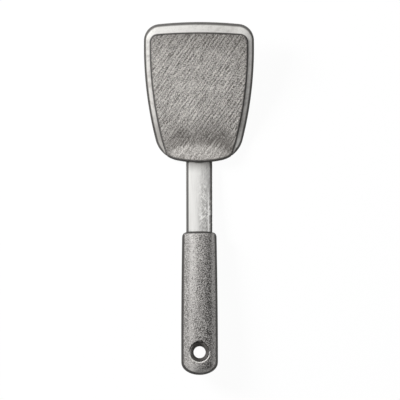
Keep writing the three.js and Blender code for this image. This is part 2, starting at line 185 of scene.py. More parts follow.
class ShaderBench:
    """A node tree under construction, for one material or for the world."""

    def __init__(self, tree: bpy.types.NodeTree) -> None:
        """Start with an empty tree."""
        self.tree = tree
        tree.nodes.clear()

    def node(
        self,
        kind: str,
        settings: Optional[dict[str, Any]] = None,
        inputs: Optional[dict[Union[str, int], Any]] = None,
        output: Union[str, int] = 0,
    ) -> Value:
        """Create any node.

        Args:
            kind: Blender's type name of the node.
            settings: Properties that are set before the sockets.
            inputs: Values or links by socket name or number.
            output: The output that is returned.

        Returns:
            The chosen output socket.
        """
        made = self.tree.nodes.new(kind)
        for name, setting in (settings or {}).items():
            setattr(made, name, setting)
        for key, given in (inputs or {}).items():
            if isinstance(given, Value):
                self.tree.links.new(given.socket, made.inputs[key])
            else:
                made.inputs[key].default_value = given
        return Value(self, made.outputs[output] if made.outputs else made.inputs[0])

    def vector(self, operation: str, first: Value, second: Spot, output: str = "Vector") -> Value:
        """Add one Vector Math node and return its result."""
        return self.node("ShaderNodeVectorMath", {"operation": operation}, {0: first, 1: second}, output)

    def mix(self, factor: Operand, low: Union[Value, Colour], high: Union[Value, Colour]) -> Value:
        """Blend two colours by a factor, through the Mix node's colour sockets."""
        settings = {"data_type": "RGBA", "clamp_factor": True}
        return self.node("ShaderNodeMix", settings, {0: factor, 6: low, 7: high}, 2)

    def fade(self, value: Value, fade: Fade) -> Value:
        """Rise smoothly while a value passes through a fade.

        Args:
            value: What is measured.
            fade: Where the rise starts, where it ends and the share that it reaches.

        Returns:
            Nought at the start of the fade and its share at the end.
        """
        settings = {"interpolation_type": "SMOOTHSTEP"}
        inputs = {"Value": value, "From Min": fade.start, "From Max": fade.end, "To Max": fade.share}
        return self.node("ShaderNodeMapRange", settings, inputs)

    def between(self, span: Span, share: Value) -> Value:
        """Go from one end of a span to the other by a share."""
        low, high = span
        return low + share * (high - low)

    def place(self) -> Value:
        """The place on the piece, in metres of the shared frame."""
        return self.node("ShaderNodeTexCoord", output="Object")

    def part(self, vector: Value, letter: str) -> Value:
        """One coordinate of a vector."""
        return self.node("ShaderNodeSeparateXYZ", inputs={0: vector}, output=letter)

    def plan(self) -> tuple[Value, Value]:
        """The place across the turner and the place along it."""
        place = self.place()
        return self.part(place, "X"), self.part(place, "Y")

    def turned(self, turn: float) -> Value:
        """The place on the piece along axes that are turned about Z, in radians."""
        inputs = {"Vector": self.place(), "Rotation": (0.0, 0.0, -turn)}
        return self.node("ShaderNodeMapping", {"vector_type": "POINT"}, inputs)

    def reach(self, centre: Spot) -> Value:
        """The distance in plan from a point of the plan, in metres."""
        flat = self.vector("MULTIPLY", self.place(), IN_PLAN)
        return self.vector("DISTANCE", flat, centre, "Value")

    def grain(self, grain: Grain) -> Value:
        """Lay the noise of a grain over the piece.

        Args:
            grain: The scale, the turn and the octaves of the noise.

        Returns:
            The noise at a place, 0 to 1.
        """
        stretched = self.vector("MULTIPLY", self.turned(grain.turn), grain.scale)
        octaves = {"Detail": grain.detail, "Roughness": grain.roughness}
        inputs = {"Vector": stretched, "Scale": 1.0, **octaves}
        return self.node("ShaderNodeTexNoise", None, inputs, "Fac")

    def swing(self, grain: Grain) -> Value:
        """The noise of a grain as a swing to both sides of nought."""
        return self.grain(grain) - NOISE_MEAN

    def bump(self, height: Value, depth: float, strength: float) -> Value:
        """Turn a height from 0 to 1 into a normal, for a depth in metres."""
        inputs = {"Height": height, "Distance": depth, "Strength": strength}
        return self.node("ShaderNodeBump", None, inputs, "Normal")

    def rimmed(self, ground: Value, edge: Colour) -> Value:
        """Lay the painted edge shade, whose share the mesh carries at its points, over a colour."""
        share = self.node("ShaderNodeAttribute", {"attribute_name": RIM}, output="Fac")
        return self.mix(share, ground, edge)


class Finish:
    """A surface finish that becomes one material."""

    name: str

    def material(self) -> bpy.types.Material:
        """Build the material of this finish.

        Returns:
            A new material with the finish's nodes.
        """
        made = bpy.data.materials.new(self.name)
        made.use_nodes = True
        bench = ShaderBench(made.node_tree)
        shader = bench.node("ShaderNodeBsdfPrincipled", None, self.sockets(bench), "BSDF")
        bench.node("ShaderNodeOutputMaterial", None, {"Surface": shader})
        return made

    def sockets(self, bench: ShaderBench) -> dict[str, Any]:
        """Lay the finish's nodes and return what the shader's sockets get."""
        raise NotImplementedError


@dataclass(frozen=True)
class HatchedSilicone(Finish):
    """Grey silicone with fine slanting strokes, broad painted light and shade, painted shade in the
    crease of the bend and painted edge shade.
    """

    name: str = "pad_silicone"
    pale: Colour = tone(228, 224, 219)
    dark: Colour = tone(90, 86, 82)
    # Painted shade for the crease of the bend, where blade and heel meet.
    crease: Colour = tone(92, 88, 84)
    # Painted edge shade along the pad's outline.
    edge: Colour = tone(62, 60, 58)
    slant: float = math.radians(54)
    line_pitch: float = 0.00284
    line_sway: float = 6.0
    clouds: Grain = Grain((38, 38, 38), detail=2.0)
    strokes: Grain = Grain((75, 1100, 300), slant)
    fine: Grain = Grain((1150, 1150, 1150))
    sway: Grain = Grain((60, 190, 120), slant, 1.0)
    pressure: Grain = Grain((50, 150, 90), slant, 1.0)
    ragged: Grain = Grain((150, 420, 150), slant, 1.0)
    middle_level: float = 0.49
    stroke_weight: float = 0.95
    line_weight: float = 0.2
    cloud_weight: float = 0.12
    hatched: Span = (0.65, 1.0)
    gritty: Span = (1.2, 1.7)
    least_pressure: float = 0.25
    pressed: Fade = Fade(0.36, 0.62, 0.75)
    heel_end: Fade = Fade(0.0424, 0.0498)
    heel_droop: float = 13000.0
    heel_shade: Fade = Fade(0.010, 0.028, 0.16)
    heel_calm: Fade = Fade(0.014, 0.028, 0.4)
    cloud_wander: float = 0.003
    ragged_wander: float = 0.005
    # The crease values place and weigh the painted crease shade.
    crease_end: Fade = Fade(0.0730, 0.0500)
    crease_left: float = 0.85
    crease_lean: Fade = Fade(-0.022, 0.022, 0.15)
    crease_depth: float = 0.15
    crease_cover: float = 0.5
    # Painted shade at the bend, corner and front, and a painted pool of light at lit, used in shading().
    bend_side: Fade = Fade(0.010, 0.021, 0.10)
    bend_end: Fade = Fade(0.080, 0.057)
    corner_slope: float = 0.5
    corner_shade: Fade = Fade(0.115, 0.155, 0.10)
    front_shade: Fade = Fade(0.124, 0.139, 0.14)
    front_calm: Fade = Fade(0.100, 0.130, 0.2)
    lit: Spot = (-0.014, 0.088, 0.0)
    lit_reach: Fade = Fade(0.036, 0.008, 0.06)
    stroke_height: float = 0.6
    line_height: float = 0.2
    relief: Span = (0.0002, 0.5)
    roughness: Span = (0.62, 0.84)
    reflection: float = 0.35

    def sockets(self, bench: ShaderBench) -> dict[str, Any]:
        """Lay strokes, clouding, painted light and shade, the painted crease shade and the painted edge
        shade over the body colour.

        Args:
            bench: Where the nodes stand.

        Returns:
            What the shader's sockets get, by name.
        """
        across, along = bench.plan()
        clouds = bench.swing(self.clouds)
        strokes = bench.grain(self.strokes)
        lines = self.lines(bench)
        ahead, crease = self.crease_shares(bench, clouds)
        drawn = (strokes - NOISE_MEAN) * self.stroke_weight + lines * self.line_weight
        grit = bench.swing(self.fine) * bench.between(self.gritty, ahead)
        hatching = drawn * bench.between(self.hatched, ahead) + grit
        ends = (1 - ahead) * bench.fade(abs(across), self.heel_calm)
        calm = 1 - bench.fade(along, self.front_calm) - ends
        clouded = self.middle_level + hatching * calm - clouds * self.cloud_weight
        # Painted broad light and shade and the painted crease shade move the level.
        level = clouded - self.shading(bench, ahead) - crease * self.crease_depth
        drawn_over = bench.mix(level, self.dark, self.pale)
        # Painted shade in the crease of the bend.
        creased = bench.mix(crease * self.crease_cover, drawn_over, self.crease)
        height = strokes * self.stroke_height + lines * self.line_height
        return {
            "Base Color": bench.rimmed(creased, self.edge),
            "Roughness": bench.between(self.roughness, strokes),
            "Normal": bench.bump(height, *self.relief),
            "Specular IOR Level": self.reflection,
        }

    def lines(self, bench: ShaderBench) -> Value:
        """Draw long slanting strokes side by side, with changing pressure.

        Args:
            bench: Where the nodes stand.

        Returns:
            A wave about nought, lower where the pressure is less.
        """
        across = bench.part(bench.turned(self.slant), "Y")
        phase = across * (2 * math.pi / self.line_pitch) + bench.grain(self.sway) * self.line_sway
        pressure = self.least_pressure + bench.fade(bench.grain(self.pressure), self.pressed)
        return phase.sine() * pressure

    def shading(self, bench: ShaderBench, ahead: Value) -> Value:
        """Find how much painted shade a place of the pad gets, less a painted pool of light in its
        middle.

        Args:
            bench: Where the nodes stand.
            ahead: One ahead of the heel.

        Returns:
            A share of painted shade that grows to the front, to the right and to both sides of the heel.
        """
        across, along = bench.plan()
        corner = bench.fade(along + across * self.corner_slope, self.corner_shade)
        front = bench.fade(along, self.front_shade)
        middle = bench.fade(bench.reach(self.lit), self.lit_reach)
        heel = (1 - ahead) * bench.fade(abs(across), self.heel_shade)
        bend = ahead * bench.fade(across, self.bend_side) * bench.fade(along, self.bend_end)
        return corner + front - middle + heel + bend

    def crease_shares(self, bench: ShaderBench, clouds: Value) -> tuple[Value, Value]:
        """Tell the heel from the blade and find the painted shade in the crease between them.

        Args:
            bench: Where the nodes stand.
            clouds: Broad noise about nought that makes the crease uneven.

        Returns:
            A value that is one ahead of the heel, and the share of the painted crease shade.
        """
        across, along = bench.plan()
        drooped = along + across * across * across * across * self.heel_droop
        uneven = clouds * self.cloud_wander + bench.swing(self.ragged) * self.ragged_wander
        ahead = bench.fade(drooped + uneven, self.heel_end)
        fall = bench.fade(drooped + uneven, self.crease_end)
        lean = self.crease_left + bench.fade(across, self.crease_lean)
        return ahead, ahead * fall * lean


@dataclass(frozen=True)
class PaleSilicone(Finish):
    """Smooth pale silicone with faint smears, painted shade towards the heel, painted light at the front
    and on the right, and painted edge shade.
    """

    name: str = "edge_silicone"
    body: Colour = tone(220, 218, 214)
    smear: Colour = tone(186, 182, 178)
    # Painted edge shade along the lip's outer edge.
    edge: Colour = tone(62, 60, 58)
    # Painted light on the front corner and on the right side.
    bright: Colour = tone(250, 248, 244)
    # Painted shade on the left towards the heel.
    heel_shade: Colour = tone(150, 147, 143)
    smears: Grain = Grain((150, 230, 150), 0.35, 2.0, 0.6)
    fine: Grain = Grain((900, 900, 900), detail=1.0)
    smeared: Fade = Fade(0.42, 0.7, 0.8)
    flecked: Fade = Fade(0.5, 0.3, 0.25)
    heel: Fade = Fade(0.082, 0.050, 0.85)
    heel_side: Fade = Fade(0.012, -0.012)
    front: Fade = Fade(0.134, 0.143, 0.85)
    front_side: Fade = Fade(0.040, -0.036)
    lee_side: Fade = Fade(0.022, 0.036, 0.5)
    lee_start: Fade = Fade(0.085, 0.115)
    relief: Span = (0.00004, 0.4)
    roughness: Span = (0.5, 0.7)
    reflection: float = 0.4

    def sockets(self, bench: ShaderBench) -> dict[str, Any]:
        """Lay faint smears, painted shade at the heel, painted light at the front and right, and the
        painted edge shade over the body colour.

        Args:
            bench: Where the nodes stand.

        Returns:
            What the shader's sockets get, by name.
        """
        across, along = bench.plan()
        smears = bench.grain(self.smears)
        fine = bench.grain(self.fine)
        smeared = bench.mix(bench.fade(smears, self.smeared), self.body, self.smear)
        # Painted shade on the left towards the heel.
        heel = bench.fade(along, self.heel) * bench.fade(across, self.heel_side)
        marks_and_shade = bench.mix(heel, smeared, self.heel_shade)
        # Painted light on the front corner and on the right side.
        front = bench.fade(along, self.front) * bench.fade(across, self.front_side)
        lee = bench.fade(across, self.lee_side) * bench.fade(along, self.lee_start)
        lit = bench.mix(front + lee, marks_and_shade, self.bright)
        flecked = bench.mix(bench.fade(fine, self.flecked), lit, self.smear)
        return {
            "Base Color": bench.rimmed(flecked, self.edge),
            "Roughness": bench.between(self.roughness, smears),
            "Normal": bench.bump(fine, *self.relief),
            "Specular IOR Level": self.reflection,
        }


@dataclass(frozen=True)
class BrushedSteel(Finish):
    """Stainless steel with brush marks and nicks, painted shade on its right and under the head, a
    painted highlight and edge shade.
    """

    name: str = "stem_steel"
    dullness: float = 0.22
    brush_dullness: float = 0.16
    body: Colour = tone(250, 249, 246)
    # Brush streaks, and the painted shade on the right side.
    streak_and_shade: Colour = tone(188, 186, 183)
    # Painted edge shade along the stem's sides.
    edge: Colour = tone(74, 72, 70)
    scratch: Colour = tone(132, 130, 127)
    # Painted shade just under the head.
    joint_shade: Colour = tone(120, 116, 112)
    brushing: Grain = Grain((900, 9, 900), 0.0, 2.0, 0.6)
    broad: Grain = Grain((260, 14, 260), 0.0, 2.0, 0.6)
    rising: Grain = Grain((300, 1500, 300), math.radians(52))
    falling: Grain = Grain((300, 1500, 300), math.radians(-48))
    blotches: Grain = Grain((110, 60, 110), detail=1.0)
    marked: Fade = Fade(0.8, 1.32)
    risen: Fade = Fade(0.58, 0.64)
    fallen: Fade = Fade(0.60, 0.66)
    scored: Fade = Fade(0.45, 0.36)
    blotched: Fade = Fade(0.42, 0.56)
    # Painted shade darkens the right side, from here on.
    right_side: Fade = Fade(-0.004, 0.005)
    flecked: Fade = Fade(-0.0055, 0.0015)
    # Stronger nearer the grip: the painted right-side shade, the scratches and the flecks.
    nearer_grip: Fade = Fade(0.018, 0.006)
    foot: Fade = Fade(-0.024, -0.014)
    nearer_grip_shares: Span = (0.25, 1.0)
    mark_shares: Span = (0.2, 0.6)
    shade_shares: Span = (0.22, 0.48)
    score_shares: Span = (0.15, 0.35)
    fleck_shares: Span = (0.5, 1.0)
    foot_shares: Span = (0.35, 1.0)
    nick_and_glint_mattness: float = 0.6
    joint: Fade = Fade(0.0215, 0.0325, 0.6)
    # A painted highlight along the right edge, lower down.
    glint: float = 0.0079
    glint_width: Fade = Fade(0.0009, 0.0003)
    glint_end: Fade = Fade(0.012, -0.004)
    relief: Span = (0.00003, 0.35)

    def sockets(self, bench: ShaderBench) -> dict[str, Any]:
        """Lay brush marks, scratches, nicks, painted shade on the right and under the head, a painted
        highlight and the painted edge shade over the metal.

        Args:
            bench: Where the nodes stand.

        Returns:
            What the shader's sockets get, by name.
        """
        across, along = bench.plan()
        brushing = bench.grain(self.brushing)
        marks = bench.fade(brushing + bench.grain(self.broad), self.marked)
        rising = bench.grain(self.rising)
        nicks = bench.fade(rising, self.risen) + bench.fade(bench.grain(self.falling), self.fallen)
        patches = bench.fade(bench.grain(self.blotches), self.blotched)
        right_side = bench.fade(across, self.right_side)
        nearer_grip = bench.between(self.nearer_grip_shares, bench.fade(along, self.nearer_grip))
        marked = marks * bench.between(self.mark_shares, right_side)
        # Brush marks and painted shade on the right, more of it nearer the grip.
        marks_and_shade = marked + right_side * bench.between(self.shade_shares, nearer_grip)
        painted_light_and_shade = bench.mix(marks_and_shade, self.body, self.streak_and_shade)
        lines = bench.fade(rising, self.scored) * right_side * bench.between(self.score_shares, patches)
        scored = bench.mix(lines * nearer_grip, painted_light_and_shade, self.scratch)
        flecked = bench.fade(across, self.flecked) * bench.between(self.fleck_shares, patches) * nearer_grip
        kept = bench.between(self.foot_shares, bench.fade(along, self.foot))
        # Painted highlight near the right edge.
        glint = bench.fade(abs(across - self.glint), self.glint_width)
        bright = nicks * (flecked * kept) + glint * bench.fade(along, self.glint_end)
        lit = bench.mix(bright, scored, self.body)
        # Painted shade under the head.
        shaded = bench.mix(bench.fade(along, self.joint), lit, self.joint_shade)
        return {
            "Base Color": bench.rimmed(shaded, self.edge),
            # Nicks and the painted highlight are made matte white.
            "Metallic": 1 - bright * self.nick_and_glint_mattness,
            "Roughness": self.dullness + brushing * self.brush_dullness,
            "Normal": bench.bump(brushing, *self.relief),
        }


@dataclass(frozen=True)
class StippledRubber(Finish):
    """Soft grey rubber with a stippled grain and streaks, painted light and shade across it, painted
    highlights at the hanging hole and the butt, and a painted dark edge.
    """

    name: str = "grip_rubber"
    body: Colour = tone(150, 147, 144)
    pale: Colour = tone(208, 205, 202)
    dark: Colour = tone(84, 82, 80)
    # Painted edge shade along the grip's outline; also the dark specks.
    edge: Colour = tone(44, 42, 40)
    # Painted highlight colour.
    glint: Colour = tone(242, 240, 236)
    coarse: Grain = Grain((1300, 1300, 1300))
    coarse_share: float = 0.7
    fine: Grain = Grain((2100, 2100, 2100))
    fine_share: float = 0.3
    streaks: Grain = Grain((380, 14, 380), detail=1.0)
    streaked: Fade = Fade(0.4, 0.68, 0.35)
    pale_specks: Fade = Fade(0.5, 0.63)
    dark_specks: Fade = Fade(0.49, 0.35)
    specked: Fade = Fade(-0.010, 0.004)
    speck_shares: Span = (0.58, 0.92)
    faded: Fade = Fade(-0.120, -0.045)
    collar: Fade = Fade(-0.0450, -0.0310, 0.2)
    # Painted light on the round of the butt.
    butt: Fade = Fade(-0.1400, -0.1495, 0.9)
    butt_light: Fade = Fade(-0.1455, -0.1490, 0.5)
    # Painted highlight band on the left, and painted reflected light inside the right edge.
    highlight_rise: Fade = Fade(-0.0110, -0.0065)
    highlight_fall: Fade = Fade(0.0015, -0.0050)
    highlight_shares: Span = (0.2, 0.65)
    reflected_light_edge: Fade = Fade(0.0092, 0.0112)
    # Painted shade on the far left, on the right and in the lower middle.
    shade_left: Fade = Fade(-0.0065, -0.0125, 0.5)
    shade_middle: Fade = Fade(-0.0070, 0.0030, 0.3)
    shade_right: Fade = Fade(0.0010, 0.0080, 0.6)
    shade_right_end: Fade = Fade(0.0118, 0.0096)
    # Painted highlight crescent under the hanging hole.
    hole: Spot = (0.0, -0.1322, 0.0)
    ring_start: Fade = Fade(0.0082, 0.0085)
    ring_end: Fade = Fade(0.0097, 0.0092)
    ring_below: Fade = Fade(0.001, -0.004)
    ring_side: Fade = Fade(-0.004, 0.006)
    ring_light: Span = (0.95, 0.5)
    relief: Span = (0.0003, 0.4)
    roughness: Span = (0.55, 0.75)
    reflection: float = 0.25

    def sockets(self, bench: ShaderBench) -> dict[str, Any]:
        """Lay streaks, painted light and shade, specks, painted highlights and the painted edge shade
        over the body colour.

        Args:
            bench: Where the nodes stand.

        Returns:
            What the shader's sockets get, by name.
        """
        across, along = bench.plan()
        stipple = bench.grain(self.coarse) * self.coarse_share + bench.grain(self.fine) * self.fine_share
        front = bench.fade(along, self.faded)
        streaks = bench.fade(bench.grain(self.streaks), self.streaked)
        streaked = bench.mix(streaks, self.body, self.dark)
        # Painted light.
        painted_light_and_shade = bench.mix(self.painted_light_and_shade(bench, front), streaked, self.pale)
        # Painted shade.
        painted_shade = bench.mix(self.painted_shade(bench, front), painted_light_and_shade, self.dark)
        strength = bench.between(self.speck_shares, bench.fade(across, self.specked))
        paled = bench.mix(bench.fade(stipple, self.pale_specks) * strength, painted_shade, self.pale)
        specked = bench.mix(bench.fade(stipple, self.dark_specks) * strength, paled, self.edge)
        # Painted highlights at the hole and the butt.
        lit = bench.mix(self.glints(bench), specked, self.glint)
        return {
            "Base Color": bench.rimmed(lit, self.edge),
            "Roughness": bench.between(self.roughness, stipple),
            "Normal": bench.bump(stipple, *self.relief),
            "Specular IOR Level": self.reflection,
        }

    def painted_light_and_shade(self, bench: ShaderBench, front: Value) -> Value:
        """Find the painted light: a highlight band on the left, reflected light inside the right edge,
        the round of the butt and a paler collar.

        Args:
            bench: Where the nodes stand.
            front: One at the front of the grip and nought at its butt.

        Returns:
            The share of the pale colour.
        """
        across, along = bench.plan()
        band = bench.fade(across, self.highlight_rise) * bench.fade(across, self.highlight_fall)
        left = band * bench.between(self.highlight_shares, front)
        ends = bench.fade(along, self.butt) + bench.fade(along, self.collar)
        return left + bench.fade(across, self.reflected_light_edge) + ends

    def painted_shade(self, bench: ShaderBench, front: Value) -> Value:
        """Find the painted shade: the far left, a band on the right and the middle towards the butt.

        Args:
            bench: Where the nodes stand.
            front: One at the front of the grip and nought at its butt.

        Returns:
            The share of the dark colour.
        """
        across, _ = bench.plan()
        right = bench.fade(across, self.shade_right) * bench.fade(across, self.shade_right_end)
        left = bench.fade(across, self.shade_left)
        return right + left + (1 - front) * bench.fade(across, self.shade_middle)

    def glints(self, bench: ShaderBench) -> Value:
        """Find the painted highlights on the lower edge of the hanging hole and on the round of the butt.

        Args:
            bench: Where the nodes stand.

        Returns:
            The share of the glint's colour.
        """
        across, along = bench.plan()
        reach = bench.reach(self.hole)
        ring = bench.fade(reach, self.ring_start) * bench.fade(reach, self.ring_end)
        below = bench.fade(along - self.hole[1], self.ring_below)
        share = bench.between(self.ring_light, bench.fade(across, self.ring_side))
        return ring * below * share + bench.fade(along, self.butt_light)


@dataclass(frozen=True)
class MouldedPlastic(Finish):
    """Hard dark plastic with a fine moulded grain and painted shade on its lower right."""

    name: str = "eyelet_plastic"
    body: Colour = tone(104, 101, 98)
    scuff: Colour = tone(126, 122, 118)
    # Painted shade on the lower right.
    shade: Colour = tone(58, 55, 53)
    scuffs: Grain = Grain((420, 420, 900), 0.4, 3.0, 0.65)
    fine: Grain = Grain((2600, 2600, 2600), detail=1.0)
    scuffed: Fade = Fade(0.55, 0.8, 0.5)
    shaded: Fade = Fade(-0.005, 0.006)
    middle: float = -0.1329
    relief: Span = (0.00006, 0.5)
    roughness: Span = (0.5, 0.75)

    def sockets(self, bench: ShaderBench) -> dict[str, Any]:
        """Lay scuffs, painted shade on one side and a fine grain over the body colour.

        Args:
            bench: Where the nodes stand.

        Returns:
            What the shader's sockets get, by name.
        """
        across, along = bench.plan()
        scuffs = bench.grain(self.scuffs)
        scuffed = bench.mix(bench.fade(scuffs, self.scuffed), self.body, self.scuff)
        # Painted shade grows towards the lower right.
        aside = across - (along - self.middle)
        return {
            "Base Color": bench.mix(bench.fade(aside, self.shaded), scuffed, self.shade),
            "Roughness": bench.between(self.roughness, scuffs),
            "Normal": bench.bump(bench.grain(self.fine), *self.relief),
        }


class Close(Enum):
    """How a sweep of rings is closed."""

    WELDED = "the first and the last ring fall together on themselves"
    FACED = "a face fills the first and the last ring"
    GRID = "a grid of faces fills the first and the last ring"


@dataclass(frozen=True)
class Ring:
    """One ring of a sweep, with the share of painted edge shade that its points carry."""

    points: Sequence[Vector]
    rims: Sequence[float]


class Shop:
    """Hand operations on meshes, each on one piece at a time."""

    drill_facets: int = 32

    @staticmethod
    def clear() -> None:
        """Leave edit mode and deselect everything."""
        if bpy.context.mode != "OBJECT":
            bpy.ops.object.mode_set(mode="OBJECT")
        bpy.ops.object.select_all(action="DESELECT")

    @classmethod
    def take(cls, piece: bpy.types.Object) -> None:
        """Make one piece the only selected and active one.

        Args:
            piece: The piece that the next operators work on.
        """
        cls.clear()
        piece.select_set(True)
        bpy.context.view_layer.objects.active = piece

    @classmethod
    def edit(cls, piece: bpy.types.Object, chosen: bool = True) -> bmesh.types.BMesh:
        """Open a piece in edit mode with all of it selected, or none.

        Args:
            piece: The piece that is opened.
            chosen: Whether its points start selected.

        Returns:
            The mesh in edit mode.
        """
        cls.take(piece)
        bpy.ops.object.mode_set(mode="EDIT")
        bpy.ops.mesh.select_mode(type="VERT")
        bpy.ops.mesh.select_all(action="SELECT" if chosen else "DESELECT")
        return bmesh.from_edit_mesh(piece.data)

    @staticmethod
    def named(name: str) -> bpy.types.Object:
        """Name the primitive that was just added.

        Args:
            name: Name of the piece and of its mesh.

        Returns:
            The piece.
        """
        piece = bpy.context.object
        piece.name = name
        piece.data.name = name
        return piece

    @staticmethod
    def _lay(piece: bpy.types.Object, ring: Ring) -> None:
        """Put the newest points of an open mesh on a ring.

        Args:
            piece: The piece that is in edit mode.
            ring: Where its newest points go, and their shares of painted edge shade.
        """
        mesh = bmesh.from_edit_mesh(piece.data)
        rims = mesh.verts.layers.float.get(RIM) or mesh.verts.layers.float.new(RIM)
        mesh.verts.ensure_lookup_table()
        for vert, spot, rim in zip(mesh.verts[-len(ring.points):], ring.points, ring.rims):
            vert.co = spot
            vert[rims] = rim
        bmesh.update_edit_mesh(piece.data)

    @classmethod
    def sweep(cls, name: str, rings: Sequence[Ring], close: Close, corner: int = 0) -> bpy.types.Object:
        """Extrude a ring from place to place.

        Args:
            name: Name of the new piece.
            rings: The rings in order, all with the same number of points.
            close: How both ends are closed.
            corner: The point where a grid has its first corner.

        Returns:
            The new piece, out of edit mode.
        """
        cls.clear()
        count = len(rings[0].points)
        bpy.ops.mesh.primitive_circle_add(vertices=count, location=(0, 0, 0))
        piece = cls.named(name)
        cls.edit(piece)
        cls._lay(piece, rings[0])
        for ring in rings[1:]:
            bpy.ops.mesh.extrude_edges_indiv()
            cls._lay(piece, ring)
        if close is Close.GRID:
            cls._grid(piece, len(rings) - 1, count, corner)
            cls._grid(piece, 0, count, corner)
        bpy.ops.mesh.select_all(action="SELECT")
        if close is Close.WELDED:
            bpy.ops.mesh.remove_doubles(threshold=WELD)
        if close is Close.FACED:
            bpy.ops.mesh.fill_holes(sides=0)
        bpy.ops.mesh.select_all(action="SELECT")
        bpy.ops.mesh.normals_make_consistent(inside=False)
        cls.clear()
        return piece

    @staticmethod
    def _grid(piece: bpy.types.Object, number: int, count: int, corner: int) -> None:
        """Fill one ring of a sweep with a square grid of faces.

        Args:
            piece: The piece that is in edit mode.
            number: Which ring of the sweep is filled.
            count: How many points a ring has.
            corner: The point of the ring where the grid has its first corner.
        """
        bpy.ops.mesh.select_all(action="DESELECT")
        mesh = bmesh.from_edit_mesh(piece.data)
        mesh.verts.ensure_lookup_table()
        ring = mesh.verts[number * count:(number + 1) * count]
        for vert in ring:
            vert.select_set(True)
        mesh.select_history.clear()
        mesh.select_history.add(ring[corner])
        mesh.select_flush_mode()
        bmesh.update_edit_mesh(piece.data)
        bpy.ops.mesh.fill_grid(span=count // 4, offset=0)

    @staticmethod
    def mark(piece: bpy.types.Object, measure: Callable[[Vector], float]) -> None:
        """Write the share of painted edge shade at each point of a mesh.

        Args:
            piece: The piece that carries the painted edge shade.
            measure: Gives the share, 0 to 1, at a point of the mesh.
        """
        marks = piece.data.attributes.get(RIM) or piece.data.attributes.new(RIM, "FLOAT", "POINT")
        for vertex, mark in zip(piece.data.vertices, marks.data):
            mark.value = measure(vertex.co)

    @classmethod
    def modify(cls, piece: bpy.types.Object, kind: str, **settings: Any) -> None:
        """Add a modifier with its settings and apply it.

        Args:
            piece: The piece that is changed.
            kind: Blender's type name of the modifier.
            settings: The modifier's properties by name.
        """
        cls.take(piece)
        modifier = piece.modifiers.new(kind.title(), kind)
        for name, setting in settings.items():
            setattr(modifier, name, setting)
        bpy.ops.object.modifier_apply(modifier=modifier.name)

    @classmethod
    def cut(cls, piece: bpy.types.Object, *tools: bpy.types.Object) -> None:
        """Cut pieces out of another and discard them.

        Args:
            piece: The piece that is cut.
            tools: The pieces whose room is taken away.
        """
        for tool in tools:
            cls.modify(piece, "BOOLEAN", operation="DIFFERENCE", solver="EXACT", object=tool)
            bpy.data.objects.remove(tool)

    @classmethod
    def block(cls, name: str, middle: Spot, size: Spot) -> bpy.types.Object:
        """Add a block of a size at a place.

        Args:
            name: Name of the block.
            middle: Its middle.
            size: Its size along each axis.

        Returns:
            The block, with its place and size in its mesh.
        """
        cls.clear()
        bpy.ops.mesh.primitive_cube_add(size=1.0, location=middle, scale=size)
        bpy.ops.object.transform_apply(location=True, rotation=True, scale=True)
        return cls.named(name)

    @staticmethod
    def score(place: Spot, normal: Spot) -> None:
        """Cut the faces of an open mesh along a plane."""
        bpy.ops.mesh.select_all(action="SELECT")
        bpy.ops.mesh.bisect(plane_co=place, plane_no=normal)

    @classmethod
    def drill(cls, piece: bpy.types.Object, place: Spot, diameter: float, depth: float) -> None:
        """Drill a round hole through a piece along Z, all in millimetres.

        Args:
            piece: The piece that is drilled.
            place: The middle of the hole.
            diameter: The hole's diameter.
            depth: The whole length of the drill.
        """
        cls.clear()
        bpy.ops.mesh.primitive_cylinder_add(
            vertices=cls.drill_facets, radius=diameter / 2, depth=depth, location=place
        )
        cls.cut(piece, bpy.context.object)

    @classmethod
    def soften(cls, piece: bpy.types.Object, angle: float) -> None:
        """Shade a piece smooth, apart from its sharp edges.

        Args:
            piece: The piece that is shaded.
            angle: The sharpest edge that is smoothed, in degrees.
        """
        cls.take(piece)
        bpy.ops.object.shade_smooth_by_angle(angle=math.radians(angle))
        cls.clear()

    @staticmethod
    def dress(piece: bpy.types.Object, finish: Finish) -> None:
        """Give a piece one finish all over."""
        piece.data.materials.clear()
        piece.data.materials.append(finish.material())

    @staticmethod
    def coat(node: str, finish: Finish) -> None:
        """Give a CAD node a better finish in the slots of its object.

        Args:
            node: Name of the CAD node.
            finish: The finish that its slots get.
        """
        made = finish.material()
        for slot in frame["nodes"][node].material_slots:
            slot.link = "OBJECT"
            slot.material = made


@dataclass(frozen=True)
class ToolAxes:
    """The turner's own axes in millimetres: butt at the origin, +Y to the head, +Z off its face."""

    hole: Vector
    upward: Vector
    hole_from_butt: float

    @classmethod
    def from_record(cls, record: dict[str, Any], hole_from_butt: float) -> "ToolAxes":
        """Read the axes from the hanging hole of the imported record.

        Args:
            record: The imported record.
            hole_from_butt: Distance from the butt to the hole's middle in millimetres.

        Returns:
            The axes.
        """
        mount = next(one for one in record["mounts"] if one["name"] == "hanging_hole")
        return cls(Vector(mount["pos_m"]), Vector(mount["axis"]).normalized(), hole_from_butt)

    def matrix(self) -> Matrix:
        """Turn the tool's millimetres into metres of the shared frame.

        Returns:
            The matrix from the tool's axes to the shared frame.
        """
        across = Vector(ALONG_X)
        ahead = self.upward.cross(across)
        turn = Matrix((across, ahead, self.upward)).transposed()
        butt = self.hole - ahead * self.hole_from_butt * MILLIMETRE
        return Matrix.Translation(butt) @ turn.to_4x4() @ Matrix.Scale(MILLIMETRE, 4)

    def set_down(self, piece: bpy.types.Object) -> None:
        """Bring a mesh that was made in the tool's axes into the shared frame."""
        piece.data.transform(self.matrix())
        piece.data.update()

    def ahead(self, distance: float, height: float) -> Vector:
        """A point over the tool's middle line, in the shared frame."""
        return self.matrix() @ Vector((0.0, distance, height))


